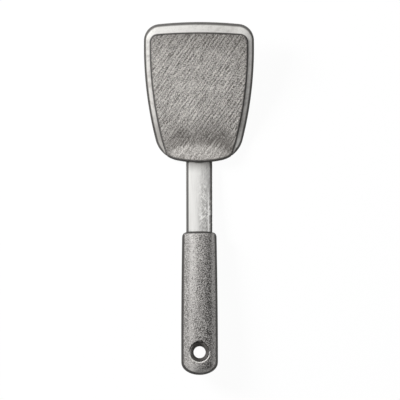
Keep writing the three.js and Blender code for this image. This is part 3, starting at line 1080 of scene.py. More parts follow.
@dataclass(frozen=True)
class Circle:
    """A circle of the plan, in millimetres."""

    x: float
    y: float
    radius: float

    def inset(self, distance: float) -> "Circle":
        """The circle drawn in by a distance."""
        return Circle(self.x, self.y, self.radius - distance)

    def point(self, angle: float) -> Vector:
        """A point of the circle."""
        return Vector((self.x + self.radius * math.cos(angle), self.y + self.radius * math.sin(angle)))

    def direction(self, spot: Vector) -> float:
        """The angle at which a point lies."""
        return math.atan2(spot.y - self.y, spot.x - self.x)

    def centre(self) -> Vector:
        """The middle of the circle."""
        return Vector((self.x, self.y))

    def crossings(self, other: "Circle") -> tuple[Vector, Vector]:
        """Both points where two circles cross.

        Args:
            other: The other circle.

        Returns:
            The crossing on the left of the line to the other circle, then the one on its right.
        """
        apart = other.centre() - self.centre()
        distance = apart.length
        apart.normalize()
        along = (self.radius ** 2 - other.radius ** 2 + distance ** 2) / (2 * distance)
        aside = math.sqrt(self.radius ** 2 - along ** 2)
        middle = self.centre() + apart * along
        normal = Vector((-apart.y, apart.x))
        return middle + normal * aside, middle - normal * aside

    def corner(self, other: "Circle", radius: float) -> "Circle":
        """The circle that rounds the corner where an outline turns left into another circle."""
        spot, _ = self.inset(radius).crossings(other.inset(radius))
        return Circle(spot.x, spot.y, radius)


@dataclass(frozen=True)
class Arc:
    """A stretch of a circle between two angles."""

    circle: Circle
    start: float
    end: float

    def point(self, share: float) -> Vector:
        """A point of the arc by its share of the length."""
        return self.circle.point(lerp(self.start, self.end, share))

    def length(self) -> float:
        """The arc's length."""
        return abs(self.end - self.start) * self.circle.radius


@dataclass(frozen=True)
class HeadPlan:
    """Outlines of the head from above and its layers from the side, in millimetres."""

    heel: float = 184.5
    length: float = 119.0
    width: float = 95.2
    widest_from_front: float = 22.0
    side_radius: float = 309.0
    front_radius: float = 353.0
    front_corner: float = 14.0
    heel_radius: float = 95.0
    heel_corner: float = 24.0
    lip_side: float = 5.5
    lip_front: float = 9.3
    pad_corner: float = 6.5
    pad_front_radius: float = 480.0
    level_heel: float = 14.3
    bend_radius: float = 35.0
    bend_angle: float = math.radians(18)
    middle: float = 1.85
    pad_half: float = 2.1
    heel_bottom: float = -3.05
    heel_round: float = 20.0
    heel_ramp: float = math.radians(30)
    boss: float = 0.7
    boss_half_width: float = 24.0
    boss_length: float = 15.0
    boss_droop: float = 7.0
    boss_sides: Span = (-6.0, 3.0)
    boss_front: Span = (-3.5, 1.5)

    @property
    def front(self) -> float:
        """Where the head ends."""
        return self.heel + self.length

    @property
    def bend_start(self) -> float:
        """Where the level heel ends and the bend begins."""
        return self.heel + self.level_heel

    def side_circle(self) -> Circle:
        """The circle of the head's right side."""
        widest = self.front - self.widest_from_front
        return Circle(self.width / 2 - self.side_radius, widest, self.side_radius)

    def front_circle(self) -> Circle:
        """The circle of the head's front."""
        return Circle(0.0, self.front - self.front_radius, self.front_radius)

    def pad_front_circle(self) -> Circle:
        """The circle of the pad's front."""
        return Circle(0.0, self.front - self.lip_front - self.pad_front_radius, self.pad_front_radius)

    def heel_circle(self) -> Circle:
        """The circle of the head's heel."""
        return Circle(0.0, self.heel + self.heel_radius, self.heel_radius)

    def heel_corner_circle(self) -> Circle:
        """The circle between heel and side."""
        return self.heel_circle().corner(self.side_circle(), self.heel_corner)

    def pad_arcs(self, distance: float) -> list[Arc]:
        """The right half of the pad's outline, drawn in by a distance.

        Args:
            distance: How far the outline is drawn in.

        Returns:
            Its arcs from the middle of the heel to the middle of the front.
        """
        whole_side = self.side_circle().inset(self.lip_side)
        whole_front = self.pad_front_circle()
        corner = whole_side.corner(whole_front, self.pad_corner).inset(distance)
        side = whole_side.inset(distance)
        front = whole_front.inset(distance)
        heel = self.heel_circle().inset(distance)
        heel_corner = self.heel_corner_circle().inset(distance)
        meeting = min(side.crossings(heel_corner), key=lambda spot: spot.y)
        turn_off = heel.direction(heel_corner.centre())
        turn_up = side.direction(corner.centre())
        turn_in = front.direction(corner.centre())
        return [
            Arc(heel, -QUARTER_TURN, turn_off),
            Arc(heel_corner, turn_off, heel_corner.direction(meeting)),
            Arc(side, side.direction(meeting), turn_up),
            Arc(corner, turn_up, turn_in),
            Arc(front, turn_in, QUARTER_TURN),
        ]

    def lip_arcs(self) -> list[tuple[Arc, Arc]]:
        """The right half of the lip: its outer edge and the pad's edge.

        Returns:
            Pairs of arcs from the heel to the middle of the front.
        """
        side = self.side_circle()
        front = self.front_circle()
        corner = side.corner(front, self.front_corner)
        heel_corner = self.heel_corner_circle()
        leave = side.direction(heel_corner.centre())
        _, start, pad_side, pad_corner, pad_front = self.pad_arcs(0.0)
        turn_up = side.direction(corner.centre())
        turn_in = front.direction(corner.centre())
        return [
            (Arc(heel_corner, start.end, leave), Arc(pad_side.circle, pad_side.start, leave)),
            (Arc(side, leave, turn_up), Arc(pad_side.circle, leave, pad_side.end)),
            (Arc(corner, turn_up, turn_in), pad_corner),
            (Arc(front, turn_in, QUARTER_TURN), pad_front),
        ]

    def layer(self, y: float, above: float) -> float:
        """Find the height of a layer of the bent head.

        Args:
            y: Place along the tool.
            above: Distance of the layer above the head's middle.

        Returns:
            The layer's height.
        """
        radius = self.bend_radius - above
        turned = min(max(y - self.bend_start, 0.0), radius * math.sin(self.bend_angle))
        climbed = max(y - self.bend_start - turned, 0.0) * math.tan(self.bend_angle)
        return self.middle + self.bend_radius - math.sqrt(radius ** 2 - turned ** 2) + climbed

    def swell(self, x: float, y: float) -> float:
        """Find the height of the low boss over the stem's tongue.

        Args:
            x: Place across the tool.
            y: Place along the tool.

        Returns:
            How much the boss adds to the pad's face.
        """
        top = self.heel + self.boss_length - self.boss_droop * (x / self.boss_half_width) ** 2
        beside = 1 - smooth(*self.boss_sides, abs(x) - self.boss_half_width)
        return self.boss * beside * (1 - smooth(*self.boss_front, y - top))

    def upper(self, x: float, y: float) -> float:
        """Height of the pad's face."""
        return self.layer(y, self.pad_half) + self.swell(x, y)

    def lower(self, y: float) -> float:
        """Find the height of the pad's underside, which is lower at the heel.

        Args:
            y: Place along the tool.

        Returns:
            The underside's height.
        """
        reach = y - self.bend_start
        turned = min(max(reach, 0.0), self.heel_round * math.sin(self.heel_ramp))
        climbed = max(reach - turned, 0.0) * math.tan(self.heel_ramp)
        drop = math.sqrt(self.heel_round ** 2 - turned ** 2)
        ramp = self.heel_bottom + self.heel_round - drop + climbed
        return min(ramp, self.layer(y, -self.pad_half))


@dataclass
class TurnerHead:
    """The flexible head: pad, lip and the spring core inside."""

    axes: ToolAxes
    plan: HeadPlan = HeadPlan()
    quarter: int = 56
    edge_round: float = 1.3
    edge_steps: int = 4
    inner_rings: Span = (4.0, 2.4)
    datum: float = 100.0
    # The rim values here set the painted edge shade along the pad and the lip.
    rim_share: float = 0.95
    rim_width: float = 1.5
    rim_start: float = 0.4
    lee_rim: float = 0.9
    heel_rim: float = 2.6
    lip_rim: float = 2.2
    front_rim: float = 2.9
    front_share: float = 0.88
    front_fade: Span = (-14.0, -5.0)
    lip_thickness: float = 2.0
    lip_edge: float = 0.8
    lip_full: float = 4.2
    lip_tail: Span = (1.0, 3.2)
    lip_steps: tuple[int, int, int, int] = (14, 54, 16, 40)
    lip_start: float = 0.25
    lip_crown: float = 0.12
    lip_brow: Span = (0.22, 0.05)
    lip_face: float = 0.3
    lip_chin: Span = (0.12, 0.1)
    lip_sole: float = 0.4
    face_share: float = 0.95
    sole_shares: Span = (0.8, 0.7)
    widest_band: float = 0.8
    band_ends: Span = (1.05, 0.65)
    under_ends: Span = (0.5, 0.9)
    groove: float = 0.35
    groove_slope: float = 2.6
    # Painted shade in the groove beside the pad.
    groove_shares: tuple[float, float, float] = (0.75, 0.6, 0.9)
    tongue: Span = (-0.5, 0.3)
    tongue_reach: float = 1.5
    flex_length: float = 16.0
    core_cuts: int = 40
    core_dullness: float = 0.3
    pad_smooth: float = 50.0
    lip_smooth: float = 35.0
    core_smooth: float = 30.0

    def build(self) -> list[bpy.types.Object]:
        """Make the three pieces and dress them.

        Returns:
            The three pieces.
        """
        pieces = [self.pad(), self.lip(), self.core()]
        near = self.plan.bend_start
        far = near + self.flex_length
        start = self.axes.ahead(near, self.plan.middle)
        end = self.axes.ahead(far, self.plan.layer(far, 0.0))
        for piece in pieces:
            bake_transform(piece)
        return pieces

    def stations(self) -> list[tuple[int, float]]:
        """Spread points over the right half of the pad's outline.

        Returns:
            The arc and the share of it for each point, heel to front, evenly between grid corners.
        """
        lengths = [arc.length() for arc in self.plan.pad_arcs(0.0)]
        first = lengths[0] + lengths[1] / 2
        second = sum(lengths[:3]) + lengths[3] / 2
        half = self.quarter // 2
        marks = [first * step / half for step in range(half)]
        marks += [lerp(first, second, step / self.quarter) for step in range(self.quarter)]
        marks += [lerp(second, sum(lengths), step / half) for step in range(half + 1)]
        found = []
        for mark in marks:
            number = 0
            while number < len(lengths) - 1 and mark > lengths[number]:
                mark -= lengths[number]
                number += 1
            found.append((number, min(mark / lengths[number], 1.0)))
        return found

    def pad_ring(self, distance: float, height: float) -> Ring:
        """Lay one flat ring round the pad.

        Args:
            distance: How far the pad's outline is drawn in.
            height: The ring's height.

        Returns:
            The ring, from the middle of the heel round by the right.
        """
        arcs = self.plan.pad_arcs(distance)
        right = [arcs[number].point(share) for number, share in self.stations()]
        left = [Vector((-spot.x, spot.y)) for spot in right[-2:0:-1]]
        points = [Vector((spot.x, spot.y, height)) for spot in right + left]
        lee = self.pad_rims(distance, self.lee_rim)
        return Ring(points, lee + self.pad_rims(distance, self.rim_width)[-2:0:-1])

    def pad_rims(self, distance: float, side_rim: float) -> list[float]:
        """Find the shares of painted edge shade round half of the pad.

        Args:
            distance: How far the pad's outline is drawn in.
            side_rim: Width of the painted edge shade along the side of that half.

        Returns:
            A share for each point of the half, heel to front.
        """
        widths = (self.heel_rim, self.heel_rim, side_rim, side_rim, self.rim_width)
        shares = [
            self.rim_share * (1 - smooth(width * self.rim_start, width, distance))
            for width in widths
        ]
        return [shares[arc] for arc, _ in self.stations()]

    def pad(self) -> bpy.types.Object:
        """Model the pad flat, then let each face down onto its own surface.

        Returns:
            The pad.
        """
        rounding = [
            (self.edge_round * (1 - math.sin(turn)), self.edge_round * (1 - math.cos(turn)))
            for turn in quarter_turns(self.edge_steps)
        ]
        edge = [(inward, 0.0) for inward in self.inner_rings] + rounding
        rings = [self.pad_ring(inward, self.datum - drop) for inward, drop in edge]
        rings += [self.pad_ring(inward, drop - self.datum) for inward, drop in reversed(edge)]
        piece = Shop.sweep("silicone_pad", rings, Close.GRID, self.quarter // 2)
        for vertex in piece.data.vertices:
            x, y, height = vertex.co
            if height > 0:
                vertex.co.z = self.plan.upper(x, y) + height - self.datum
            else:
                vertex.co.z = self.plan.lower(y) + height + self.datum
        self.axes.set_down(piece)
        Shop.soften(piece, self.pad_smooth)
        Shop.dress(piece, HatchedSilicone())
        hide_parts("head_pad")
        return piece

    def lip_section(self, outer: Vector, root: Vector) -> Ring:
        """One cross section of the lip.

        Args:
            outer: The lip's outer edge in plan.
            root: The pad's edge in plan.

        Returns:
            The section's ring of points, round from the groove.
        """
        inward = (root - outer).normalized()
        width = (root - outer).length
        part = min(1.0, width / self.lip_full)
        groove = self.groove * part
        crest = self.lip_thickness / 2
        bottom = -crest
        brink = bottom + self.lip_edge
        low, high = self.tongue
        tip = width + self.tongue_reach * part
        ahead = smooth(*self.front_fade, outer.y - self.plan.front)
        band = min(lerp(self.lip_rim, self.front_rim, ahead), width * self.widest_band)
        share = lerp(self.rim_share, self.front_share, ahead)
        tail = self.rim_share * (1 - smooth(*self.lip_tail, width))

        def top(from_outer: float, rim: float, lift: float = 0.0) -> Spot:
            """A point of the sloping top: distance from the outer edge, height and share of painted edge
            shade.
            """
            return from_outer, lerp(brink, crest, from_outer / width) + lift, rim

        inner = width - groove
        flank = width - self.groove_slope * groove
        clear, full = (band * reach for reach in self.band_ends)
        under_full, under_clear = (band * reach for reach in self.under_ends)
        brow, brow_drop = self.lip_brow
        chin, chin_rise = self.lip_chin
        sole_share, under_share = self.sole_shares
        groove_top, groove_under, groove_inside = self.groove_shares
        profile = [
            top(inner, groove_top),
            top(flank, 0.0),
            top(width / 2, 0.0, self.lip_crown * part),
            top(clear, 0.0),
            top(full, share),
            top(brow * part, share, -brow_drop),
            (0.0, brink - self.lip_face, self.face_share),
            (chin * part, bottom + chin_rise, self.face_share),
            (self.lip_sole * part, bottom, sole_share),
            (under_full, bottom, under_share),
            (under_clear, bottom, 0.0),
            (flank, bottom, 0.0),
            (inner, bottom, groove_under),
            (inner, low, groove_under),
            (tip, low, groove_inside),
            (tip, high, groove_inside),
            (inner, high, groove_inside),
        ]
        points = []
        for from_outer, above, _ in profile:
            spot = outer + inward * from_outer
            points.append(Vector((spot.x, spot.y, self.plan.layer(spot.y, above))))
        return Ring(points, [max(rim, tail) for _, _, rim in profile])

    def lip(self) -> bpy.types.Object:
        """Sweep the lip's section round the head from heel to heel.

        Returns:
            The lip.
        """
        sections = []
        for (outer, root), steps in zip(self.plan.lip_arcs(), self.lip_steps):
            for step in range(steps):
                share = (step if sections else self.lip_start) / steps
                sections.append(self.lip_section(outer.point(share), root.point(share)))
        outer, root = self.plan.lip_arcs()[-1]
        sections.append(self.lip_section(outer.point(1.0), root.point(1.0)))
        mirrored = [
            Ring([Vector((-spot.x, spot.y, spot.z)) for spot in section.points], section.rims)
            for section in sections[-2::-1]
        ]
        piece = Shop.sweep("silicone_lip", sections + mirrored, Close.FACED)
        self.axes.set_down(piece)
        Shop.soften(piece, self.lip_smooth)
        Shop.dress(piece, PaleSilicone())
        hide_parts("flexible_edge")
        return piece

    def core(self) -> bpy.types.Object:
        """Copy the spring core and cut it across so that it can bend.

        Returns:
            The spring core.
        """
        source = frame["nodes"]["spring_core"]
        piece = bpy.data.objects.new("spring_sheet", source.data.copy())
        bpy.context.scene.collection.objects.link(piece)
        Shop.edit(piece)
        bpy.ops.mesh.remove_doubles(threshold=WELD * MILLIMETRE)
        low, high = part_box("spring_core")
        for cut in range(1, self.core_cuts):
            Shop.score((0.0, lerp(low[1], high[1], cut / self.core_cuts), 0.0), ALONG_Y)
        Shop.clear()
        Shop.soften(piece, self.core_smooth)
        Shop.dress(piece, BrushedSteel("spring_steel", self.core_dullness))
        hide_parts("spring_core")
        return piece


@dataclass
class FlatStem:
    """The flat steel stem with its tongue in the heel and its tang in the handle."""

    axes: ToolAxes
    width: float = 22.7
    thickness: float = 2.5
    shoulder: float = 120.7
    tongue_end: float = 198.5
    tongue_corner: float = 4.0
    tang_width: float = 14.0
    tang_end: float = 36.0
    tang_corner: float = 5.0
    facing_back: float = -0.9
    crown: float = 0.6
    crown_lines: tuple[float, ...] = (0.0, 2.5, 5.0, 7.5, 9.0, 9.4, 9.8)
    corner_steps: int = 8
    edge: float = 0.45
    edge_steps: int = 3
    edge_angle: float = math.radians(40)
    smooth_angle: float = 35.0
    # The rim values set the painted edge shade along the stem's sides.
    rim_start: float = 0.8
    rim_width: float = 2.35
    rim_share: float = 0.88
    lee_rim: float = 2.1
    lee_share: float = 0.76
    rivet_line: float = 192.5
    rivet_side: float = 6.0
    rivet_hole: float = 4.1
    rivet_dullness: float = 0.38
    tang_hole: float = 6.0
    drill_reach: float = 4.0
    tang_holes: int = 3

    def build(self) -> list[bpy.types.Object]:
        """Make the stem, and give the rivets their steel.

        Returns:
            The stem, the only new piece.
        """
        piece = self.bar()
        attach(piece, "handle")
        for node in ("rivet_left", "rivet_right"):
            Shop.coat(node, BrushedSteel("rivet_steel", self.rivet_dullness))
        return [piece]

    def bar(self) -> bpy.types.Object:
        """Shape the bar from a block.

        Returns:
            The stem.
        """
        length = self.tongue_end - self.shoulder
        middle = (0.0, self.shoulder + length / 2, 0.0)
        piece = Shop.block("steel_stem", middle, (self.width, length, self.thickness))
        self.draw_out_tang(piece)
        self.round_corners(piece, self.tongue_end, self.width / 2, self.tongue_corner)
        self.round_corners(piece, self.tang_end, self.tang_width / 2, self.tang_corner)
        self.raise_crown(piece)
        Shop.modify(
            piece,
            "BEVEL",
            width=self.edge,
            segments=self.edge_steps,
            limit_method="ANGLE",
            angle_limit=self.edge_angle,
        )
        depth = self.thickness * self.drill_reach
        for side in LEFT_AND_RIGHT:
            Shop.drill(piece, (side * self.rivet_side, self.rivet_line, 0.0), self.rivet_hole, depth)
        pitch = (self.shoulder - self.tang_end) / (self.tang_holes + 1)
        for number in range(1, self.tang_holes + 1):
            Shop.drill(piece, (0.0, self.tang_end + pitch * number, 0.0), self.tang_hole, depth)
        Shop.mark(piece, self.rim_at)
        self.axes.set_down(piece)
        Shop.soften(piece, self.smooth_angle)
        Shop.dress(piece, BrushedSteel())
        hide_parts("stem")
        return piece

    def rim_at(self, spot: Vector) -> float:
        """Find the share of painted edge shade by the distance from the sides of the stem.

        Args:
            spot: A point of the stem, in the tool's axes.

        Returns:
            The share, 0 to 1.
        """
        left = (self.rim_width, self.rim_share)
        width, share = left if spot.x < 0 else (self.lee_rim, self.lee_share)
        return share * (1 - smooth(self.rim_start * width, width, self.width / 2 - abs(spot.x)))

    def draw_out_tang(self, piece: bpy.types.Object) -> None:
        """Split the bar along the tang's sides and extrude its end into the handle.

        Args:
            piece: The bar.
        """
        Shop.edit(piece)
        for side in LEFT_AND_RIGHT:
            Shop.score((side * self.tang_width / 2, 0.0, 0.0), ALONG_X)
        bpy.ops.mesh.select_all(action="DESELECT")
        bpy.ops.mesh.select_mode(type="FACE")
        mesh = bmesh.from_edit_mesh(piece.data)
        for face in mesh.faces:
            middle = face.calc_center_median()
            behind = face.normal.y < self.facing_back
            face.select_set(behind and abs(middle.x) < self.tang_width / 2)
        bmesh.update_edit_mesh(piece.data)
        bpy.ops.mesh.extrude_region_move(
            TRANSFORM_OT_translate={"value": (0.0, self.tang_end - self.shoulder, 0.0)}
        )
        Shop.clear()

    def round_corners(self, piece: bpy.types.Object, y: float, half_width: float, radius: float) -> None:
        """Round the upright edges at one end of the bar.

        Args:
            piece: The bar.
            y: Where that end is.
            half_width: Half of the bar's width there.
            radius: The radius of the corners.
        """
        mesh = Shop.edit(piece, chosen=False)
        bpy.ops.mesh.select_mode(type="EDGE")
        for edge in mesh.edges:
            ends = [vert.co for vert in edge.verts]
            upright = abs(ends[0].z - ends[1].z) > WELD
            placed = all(abs(end.y - y) < WELD and abs(abs(end.x) - half_width) < WELD for end in ends)
            edge.select_set(upright and placed)
        bmesh.update_edit_mesh(piece.data)
        bpy.ops.mesh.bevel(offset=radius, segments=self.corner_steps, affect="EDGES")
        Shop.clear()

    def raise_crown(self, piece: bpy.types.Object) -> None:
        """Thin the bar a little towards its sides, so that its faces are crowned.

        Args:
            piece: The bar.
        """
        Shop.edit(piece)
        for line in self.crown_lines:
            for side in LEFT_AND_RIGHT:
                Shop.score((side * line, 0.0, 0.0), ALONG_X)
        bpy.ops.mesh.select_all(action="SELECT")
        bpy.ops.mesh.remove_doubles(threshold=WELD)
        Shop.clear()
        thin = self.crown / (self.thickness / 2)
        for vertex in piece.data.vertices:
            vertex.co.z *= 1 - thin * (vertex.co.x / (self.width / 2)) ** 2


@dataclass
class Handle:
    """The handle: soft grip, hanging eyelet and the hard core inside."""

    axes: ToolAxes
    length: float = 124.7
    width: float = 31.8
    front_width: float = 29.8
    butt_thickness: float = 22.0
    front_thickness: float = 17.0
    butt_length: float = 10.8
    front_corner: float = 4.3
    least_corner: float = 0.4
    front_dome: float = 0.8
    wall: float = 4.0
    facets: int = 96
    bend_steps: int = 10
    body_steps: int = 24
    dome_steps: int = 4
    pole: float = 1e-6
    voxel: float = 0.48
    smoothing: int = 7
    smooth_share: float = 0.5
    mouth: Span = (23.3, 3.1)
    mouth_depth: float = 16.0
    hole_from_butt: float = 19.7
    hole_room: float = 8.6
    hole_flare: float = 0.9
    flare_depth: float = 0.5
    tool_reach: float = 1.5
    tool_axis: float = 0.001
    tool_facets: int = 64
    # The rim values and the gains set the painted edge shade along the grip's outline.
    rim_share: float = 0.97
    rim_start: float = 0.5
    rim_width: float = 3.0
    lee_rim: float = 2.6
    rim_fade: Span = (-0.5, 7.5)
    front_gain: float = 0.5
    butt_gain: float = 1.4
    eyelet_outer: float = 8.3
    eyelet_mouth: float = 7.8
    eyelet_bore: float = 5.25
    eyelet_half: float = 8.64
    eyelet_sink: float = 4.0
    eyelet_edge: tuple[Span, ...] = ((0.0, 0.5), (0.15, 0.15), (0.4, 0.0))
    eyelet_brim: float = 0.1
    eyelet_hollow: float = 0.42
    eyelet_throat: tuple[Span, ...] = ((0.15, -0.5), (0.0, 0.6))
    eyelet_steps: int = 96
    eyelet_smooth: float = 40.0
    core_tone: Colour = tone(80, 78, 76)

    def build(self) -> list[bpy.types.Object]:
        """Make the grip and the eyelet, and give the core its plastic.

        Returns:
            The grip and the eyelet.
        """
        pieces = [self.grip(), self.eyelet()]
        for piece in pieces:
            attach(piece, "handle")
        Shop.coat("handle_core", MouldedPlastic("core_plastic", self.core_tone))
        return pieces

    def half_width(self, y: float) -> float:
        """Half of the grip's width where its sides are free."""
        share = max(y - self.hole_from_butt, 0.0) / (self.length - self.hole_from_butt)
        return lerp(self.width, self.front_width, share ** 2) / 2

    def half_thickness(self, y: float) -> float:
        """Half of the grip's thickness over its middle line."""
        return lerp(self.butt_thickness, self.front_thickness, y / self.length) / 2

    def outline(self, distance: float) -> list[Span]:
        """Half of the grip's outline, drawn in by a distance.

        Args:
            distance: How far the outline is drawn in.

        Returns:
            Places along the tool with the share of the free half width there, butt to front.
        """
        half = self.width / 2 - distance
        corner = max(self.front_corner - distance, self.least_corner)
        level = (half - corner) / half
        flat = self.length - distance - self.front_dome
        start = self.butt_length
        end = flat - corner
        turns = quarter_turns(self.bend_steps)
        butt = [(start - (start - distance) * math.cos(turn), math.sin(turn)) for turn in turns]
        body = [(lerp(start, end, step / self.body_steps), 1.0) for step in range(1, self.body_steps)]
        bend = [
            (end + corner * math.sin(turn), (half - corner + corner * math.cos(turn)) / half)
            for turn in turns
        ]
        shares = [1 - step / self.dome_steps for step in range(1, self.dome_steps + 1)]
        dome = [(flat + self.front_dome * (1 - share ** 2), level * share) for share in shares]
        return butt + body + bend + dome

    def form(self, name: str, distance: float) -> bpy.types.Object:
        """Make the grip's whole form as a closed skin.

        Args:
            name: Name of the new piece.
            distance: How far the form is drawn in.

        Returns:
            The new piece.
        """
        turns = [2 * math.pi * step / self.facets for step in range(self.facets)]
        rings = []
        for y, share in self.outline(distance):
            across = (self.half_width(y) - distance) * max(share, self.pole)
            upward = (self.half_thickness(y) - distance) * max(share, self.pole)
            points = [Vector((across * math.cos(turn), y, upward * math.sin(turn))) for turn in turns]
            rings.append(Ring(points, [0.0] * self.facets))
        return Shop.sweep(name, rings, Close.WELDED)

    def turned(self, name: str, profile: Sequence[Span], steps: int) -> bpy.types.Object:
        """Spin a closed profile round the hanging hole.

        Args:
            name: Name of the new piece.
            profile: Radius and height of each corner of the profile.
            steps: Facets round the hole.

        Returns:
            The new piece.
        """
        Shop.clear()
        bpy.ops.mesh.primitive_circle_add(vertices=len(profile), location=(0, 0, 0))
        piece = Shop.named(name)
        for vertex, (radius, height) in zip(piece.data.vertices, profile):
            vertex.co = (radius, self.hole_from_butt, height)
        Shop.edit(piece)
        bpy.ops.mesh.spin(
            steps=steps,
            angle=2 * math.pi,
            center=(0.0, self.hole_from_butt, 0.0),
            axis=ALONG_Z,
        )
        bpy.ops.mesh.select_all(action="SELECT")
        bpy.ops.mesh.remove_doubles(threshold=WELD)
        bpy.ops.mesh.normals_make_consistent(inside=False)
        Shop.clear()
        return piece

    def hole_tool(self) -> bpy.types.Object:
        """Make the flared tool that opens the grip for the eyelet.

        Returns:
            The tool.
        """
        thick = self.half_thickness(self.hole_from_butt)
        side = thick * math.sqrt(1 - (2 * self.hole_room / self.width) ** 2)
        top = self.half_thickness(0.0) * self.tool_reach
        start = side - self.flare_depth
        flared = self.hole_room + self.hole_flare * (top - start) / (thick - start)
        upper = [(self.hole_room, start), (flared, top), (self.tool_axis, top)]
        lower = [(radius, -height) for radius, height in reversed(upper)]
        return self.turned("hole_tool", lower + upper, self.tool_facets)

    def mouth_tool(self) -> bpy.types.Object:
        """The block that opens the grip's front for the stem."""
        width, height = self.mouth
        return Shop.block("mouth_tool", (0.0, self.length, 0.0), (width, self.mouth_depth, height))

    def rim_at(self, spot: Vector) -> float:
        """Find the share of painted edge shade by the distance from the grip's outline in plan.

        Args:
            spot: A point of the grip, in the tool's axes.

        Returns:
            The share, 0 to 1.
        """
        beside = self.half_width(spot.y) - abs(spot.x)
        before = self.length - self.front_dome - spot.y
        behind = beside
        if spot.y < self.butt_length:
            across = spot.x / (self.width / 2)
            along = (self.butt_length - spot.y) / self.butt_length
            behind = (1 - math.hypot(across, along)) * lerp(self.width / 2, self.butt_length, along)
            behind *= lerp(1.0, self.butt_gain, along ** 4)
        distance = min(beside, before + self.front_gain, behind)
        # The painted edge shade fades out below the grip's widest line.
        above = 1 - smooth(*self.rim_fade, -spot.z)
        width = self.rim_width if spot.x < 0 else self.lee_rim
        return self.rim_share * above * (1 - smooth(self.rim_start * width, width, distance))

    def grip(self) -> bpy.types.Object:
        """Hollow the grip, open it and soften all its edges.

        Returns:
            The grip.
        """
        piece = self.form("rubber_grip", 0.0)
        Shop.cut(piece, self.form("grip_room", self.wall), self.mouth_tool(), self.hole_tool())
        Shop.modify(piece, "REMESH", mode="VOXEL", voxel_size=self.voxel, use_smooth_shade=True)
        Shop.modify(piece, "SMOOTH", factor=self.smooth_share, iterations=self.smoothing)
        Shop.mark(piece, self.rim_at)
        self.axes.set_down(piece)
        Shop.dress(piece, StippledRubber())
        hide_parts("grip")
        return piece

    def eyelet(self) -> bpy.types.Object:
        """Spin the countersunk bush that lines the hanging hole.

        Returns:
            The eyelet.
        """
        top = self.eyelet_half
        foot = top - self.eyelet_sink
        middle = (self.eyelet_mouth + self.eyelet_bore) / 2
        upper = [(self.eyelet_outer - inward, top - drop) for inward, drop in self.eyelet_edge]
        upper.append((self.eyelet_mouth, top - self.eyelet_brim))
        upper.append((middle, top - self.eyelet_sink * self.eyelet_hollow))
        upper += [(self.eyelet_bore + outward, foot - drop) for outward, drop in self.eyelet_throat]
        profile = upper + [(radius, -height) for radius, height in reversed(upper)]
        piece = self.turned("hole_eyelet", profile, self.eyelet_steps)
        self.axes.set_down(piece)
        Shop.soften(piece, self.eyelet_smooth)
        Shop.dress(piece, MouldedPlastic())
        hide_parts("hanging_eyelet")
        return piece


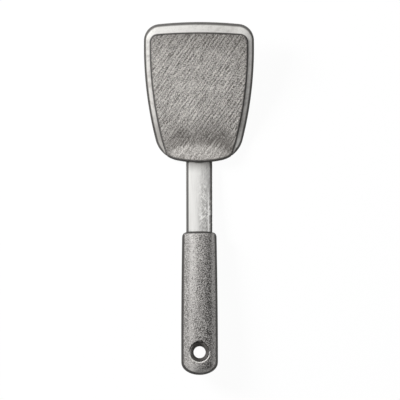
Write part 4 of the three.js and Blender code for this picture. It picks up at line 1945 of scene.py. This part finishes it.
@dataclass
class Studio:
    """The pale floor, the soft lights and the camera straight above."""

    frame_width: float = 0.3466
    lens: float = 450.0
    sensor: float = 36.0
    aim: Spot = (0.00063, -0.0011, 0.013)
    roll: float = math.radians(-0.12)
    key_from: Spot = (-1.33, 0.71, 0.78)
    key_size: float = 0.6
    key_power: float = 48.0
    fill_from: Spot = (1.7, -0.1, 0.2)
    fill_size: float = 0.5
    fill_power: float = 12.0
    sky: float = 0.12
    room_glow: float = 1.1
    dim_side: Fade = Fade(-0.05, 0.35)
    dim_height: Fade = Fade(0.45, 0.75)
    floor_size: float = 8.0
    floor_drop: float = 0.0002
    floor_glow: float = 0.96
    floor_body: Colour = (0.05, 0.05, 0.05, 1.0)
    floor_bounce: Colour = (0.7, 0.7, 0.7, 1.0)

    def build(self) -> None:
        """Set up everything round the turner."""
        self.camera()
        self.lamp("key_light", self.key_from, self.key_size, self.key_power)
        self.lamp("fill_light", self.fill_from, self.fill_size, self.fill_power)
        self.floor()
        self.world()
        bpy.context.scene.view_settings.view_transform = "Standard"

    def camera(self) -> None:
        """Hang the camera over the turner, with the head at the top of the picture."""
        data = bpy.data.cameras.new("plan_camera")
        data.lens = self.lens
        data.sensor_width = self.sensor
        data.dof.use_dof = False
        camera = bpy.data.objects.new("plan_camera", data)
        x, y, z = self.aim
        camera.location = (x, y, z + self.frame_width * self.lens / self.sensor)
        camera.rotation_euler = (0.0, 0.0, self.roll)
        bpy.context.scene.collection.objects.link(camera)
        bpy.context.scene.camera = camera

    @staticmethod
    def lamp(name: str, place: Spot, size: float, power: float) -> None:
        """Hang one square softbox that faces the turner.

        Args:
            name: Name of the lamp.
            place: Where it hangs, in metres.
            size: Its width in metres.
            power: Its power in watts.
        """
        data = bpy.data.lights.new(name, "AREA")
        data.energy = power
        data.size = size
        lamp = bpy.data.objects.new(name, data)
        lamp.location = place
        lamp.rotation_euler = (-Vector(place)).to_track_quat("-Z", "Y").to_euler()
        bpy.context.scene.collection.objects.link(lamp)

    @staticmethod
    def seen(bench: ShaderBench) -> Value:
        """Pick the rays that show a surface to the camera, directly, mirrored or through glass.

        Args:
            bench: Where the nodes stand.

        Returns:
            One for those rays and nought for the others.
        """
        rays = [
            bench.node("ShaderNodeLightPath", output=name)
            for name in ("Is Camera Ray", "Is Glossy Ray", "Is Transmission Ray")
        ]
        return rays[0].at_least(rays[1]).at_least(rays[2])

    def floor(self) -> None:
        """Lay a pale floor that looks white and keeps a soft shadow."""
        Shop.clear()
        bpy.ops.mesh.primitive_plane_add(size=self.floor_size, location=(0.0, 0.0, -self.floor_drop))
        floor = Shop.named("floor")
        made = bpy.data.materials.new("pale_floor")
        made.use_nodes = True
        bench = ShaderBench(made.node_tree)
        bounce = bench.node("ShaderNodeBsdfDiffuse", None, {"Color": self.floor_bounce})
        body = bench.node("ShaderNodeBsdfDiffuse", None, {"Color": self.floor_body})
        glow = bench.node("ShaderNodeEmission", None, {"Strength": self.floor_glow})
        shown = bench.node("ShaderNodeAddShader", None, {0: body, 1: glow})
        surface = bench.node("ShaderNodeMixShader", None, {0: self.seen(bench), 1: bounce, 2: shown})
        bench.node("ShaderNodeOutputMaterial", None, {"Surface": surface})
        floor.data.materials.append(made)

    def world(self) -> None:
        """Light the room softly, white where it is seen and dimmer to the right in the metal."""
        world = bpy.data.worlds.new("room")
        world.use_nodes = True
        bpy.context.scene.world = world
        bench = ShaderBench(world.node_tree)
        heading = bench.node("ShaderNodeTexCoord", output="Generated")
        mirrored = bench.node("ShaderNodeLightPath", output="Is Glossy Ray")
        rightward = bench.fade(bench.part(heading, "X"), self.dim_side)
        upward = bench.fade(bench.part(heading, "Z"), self.dim_height)
        seen = self.seen(bench)
        strength = seen * (self.room_glow - mirrored * rightward * upward) + (1.0 - seen) * self.sky
        background = bench.node("ShaderNodeBackground", None, {"Strength": strength})
        bench.node("ShaderNodeOutputWorld", None, {"Surface": background})


def main() -> None:
    """Build the turner and its studio, and log the number of faces of each piece."""
    logging.basicConfig(level=logging.INFO, format="%(name)s: %(message)s")
    axes = ToolAxes.from_record(frame["record"], Handle.hole_from_butt)
    for assembly in (TurnerHead(axes), FlatStem(axes), Handle(axes)):
        for piece in assembly.build():
            LOG.info("%s: %d faces", piece.name, len(piece.data.polygons))
    Studio().build()


if __name__ == "__main__":
    main()
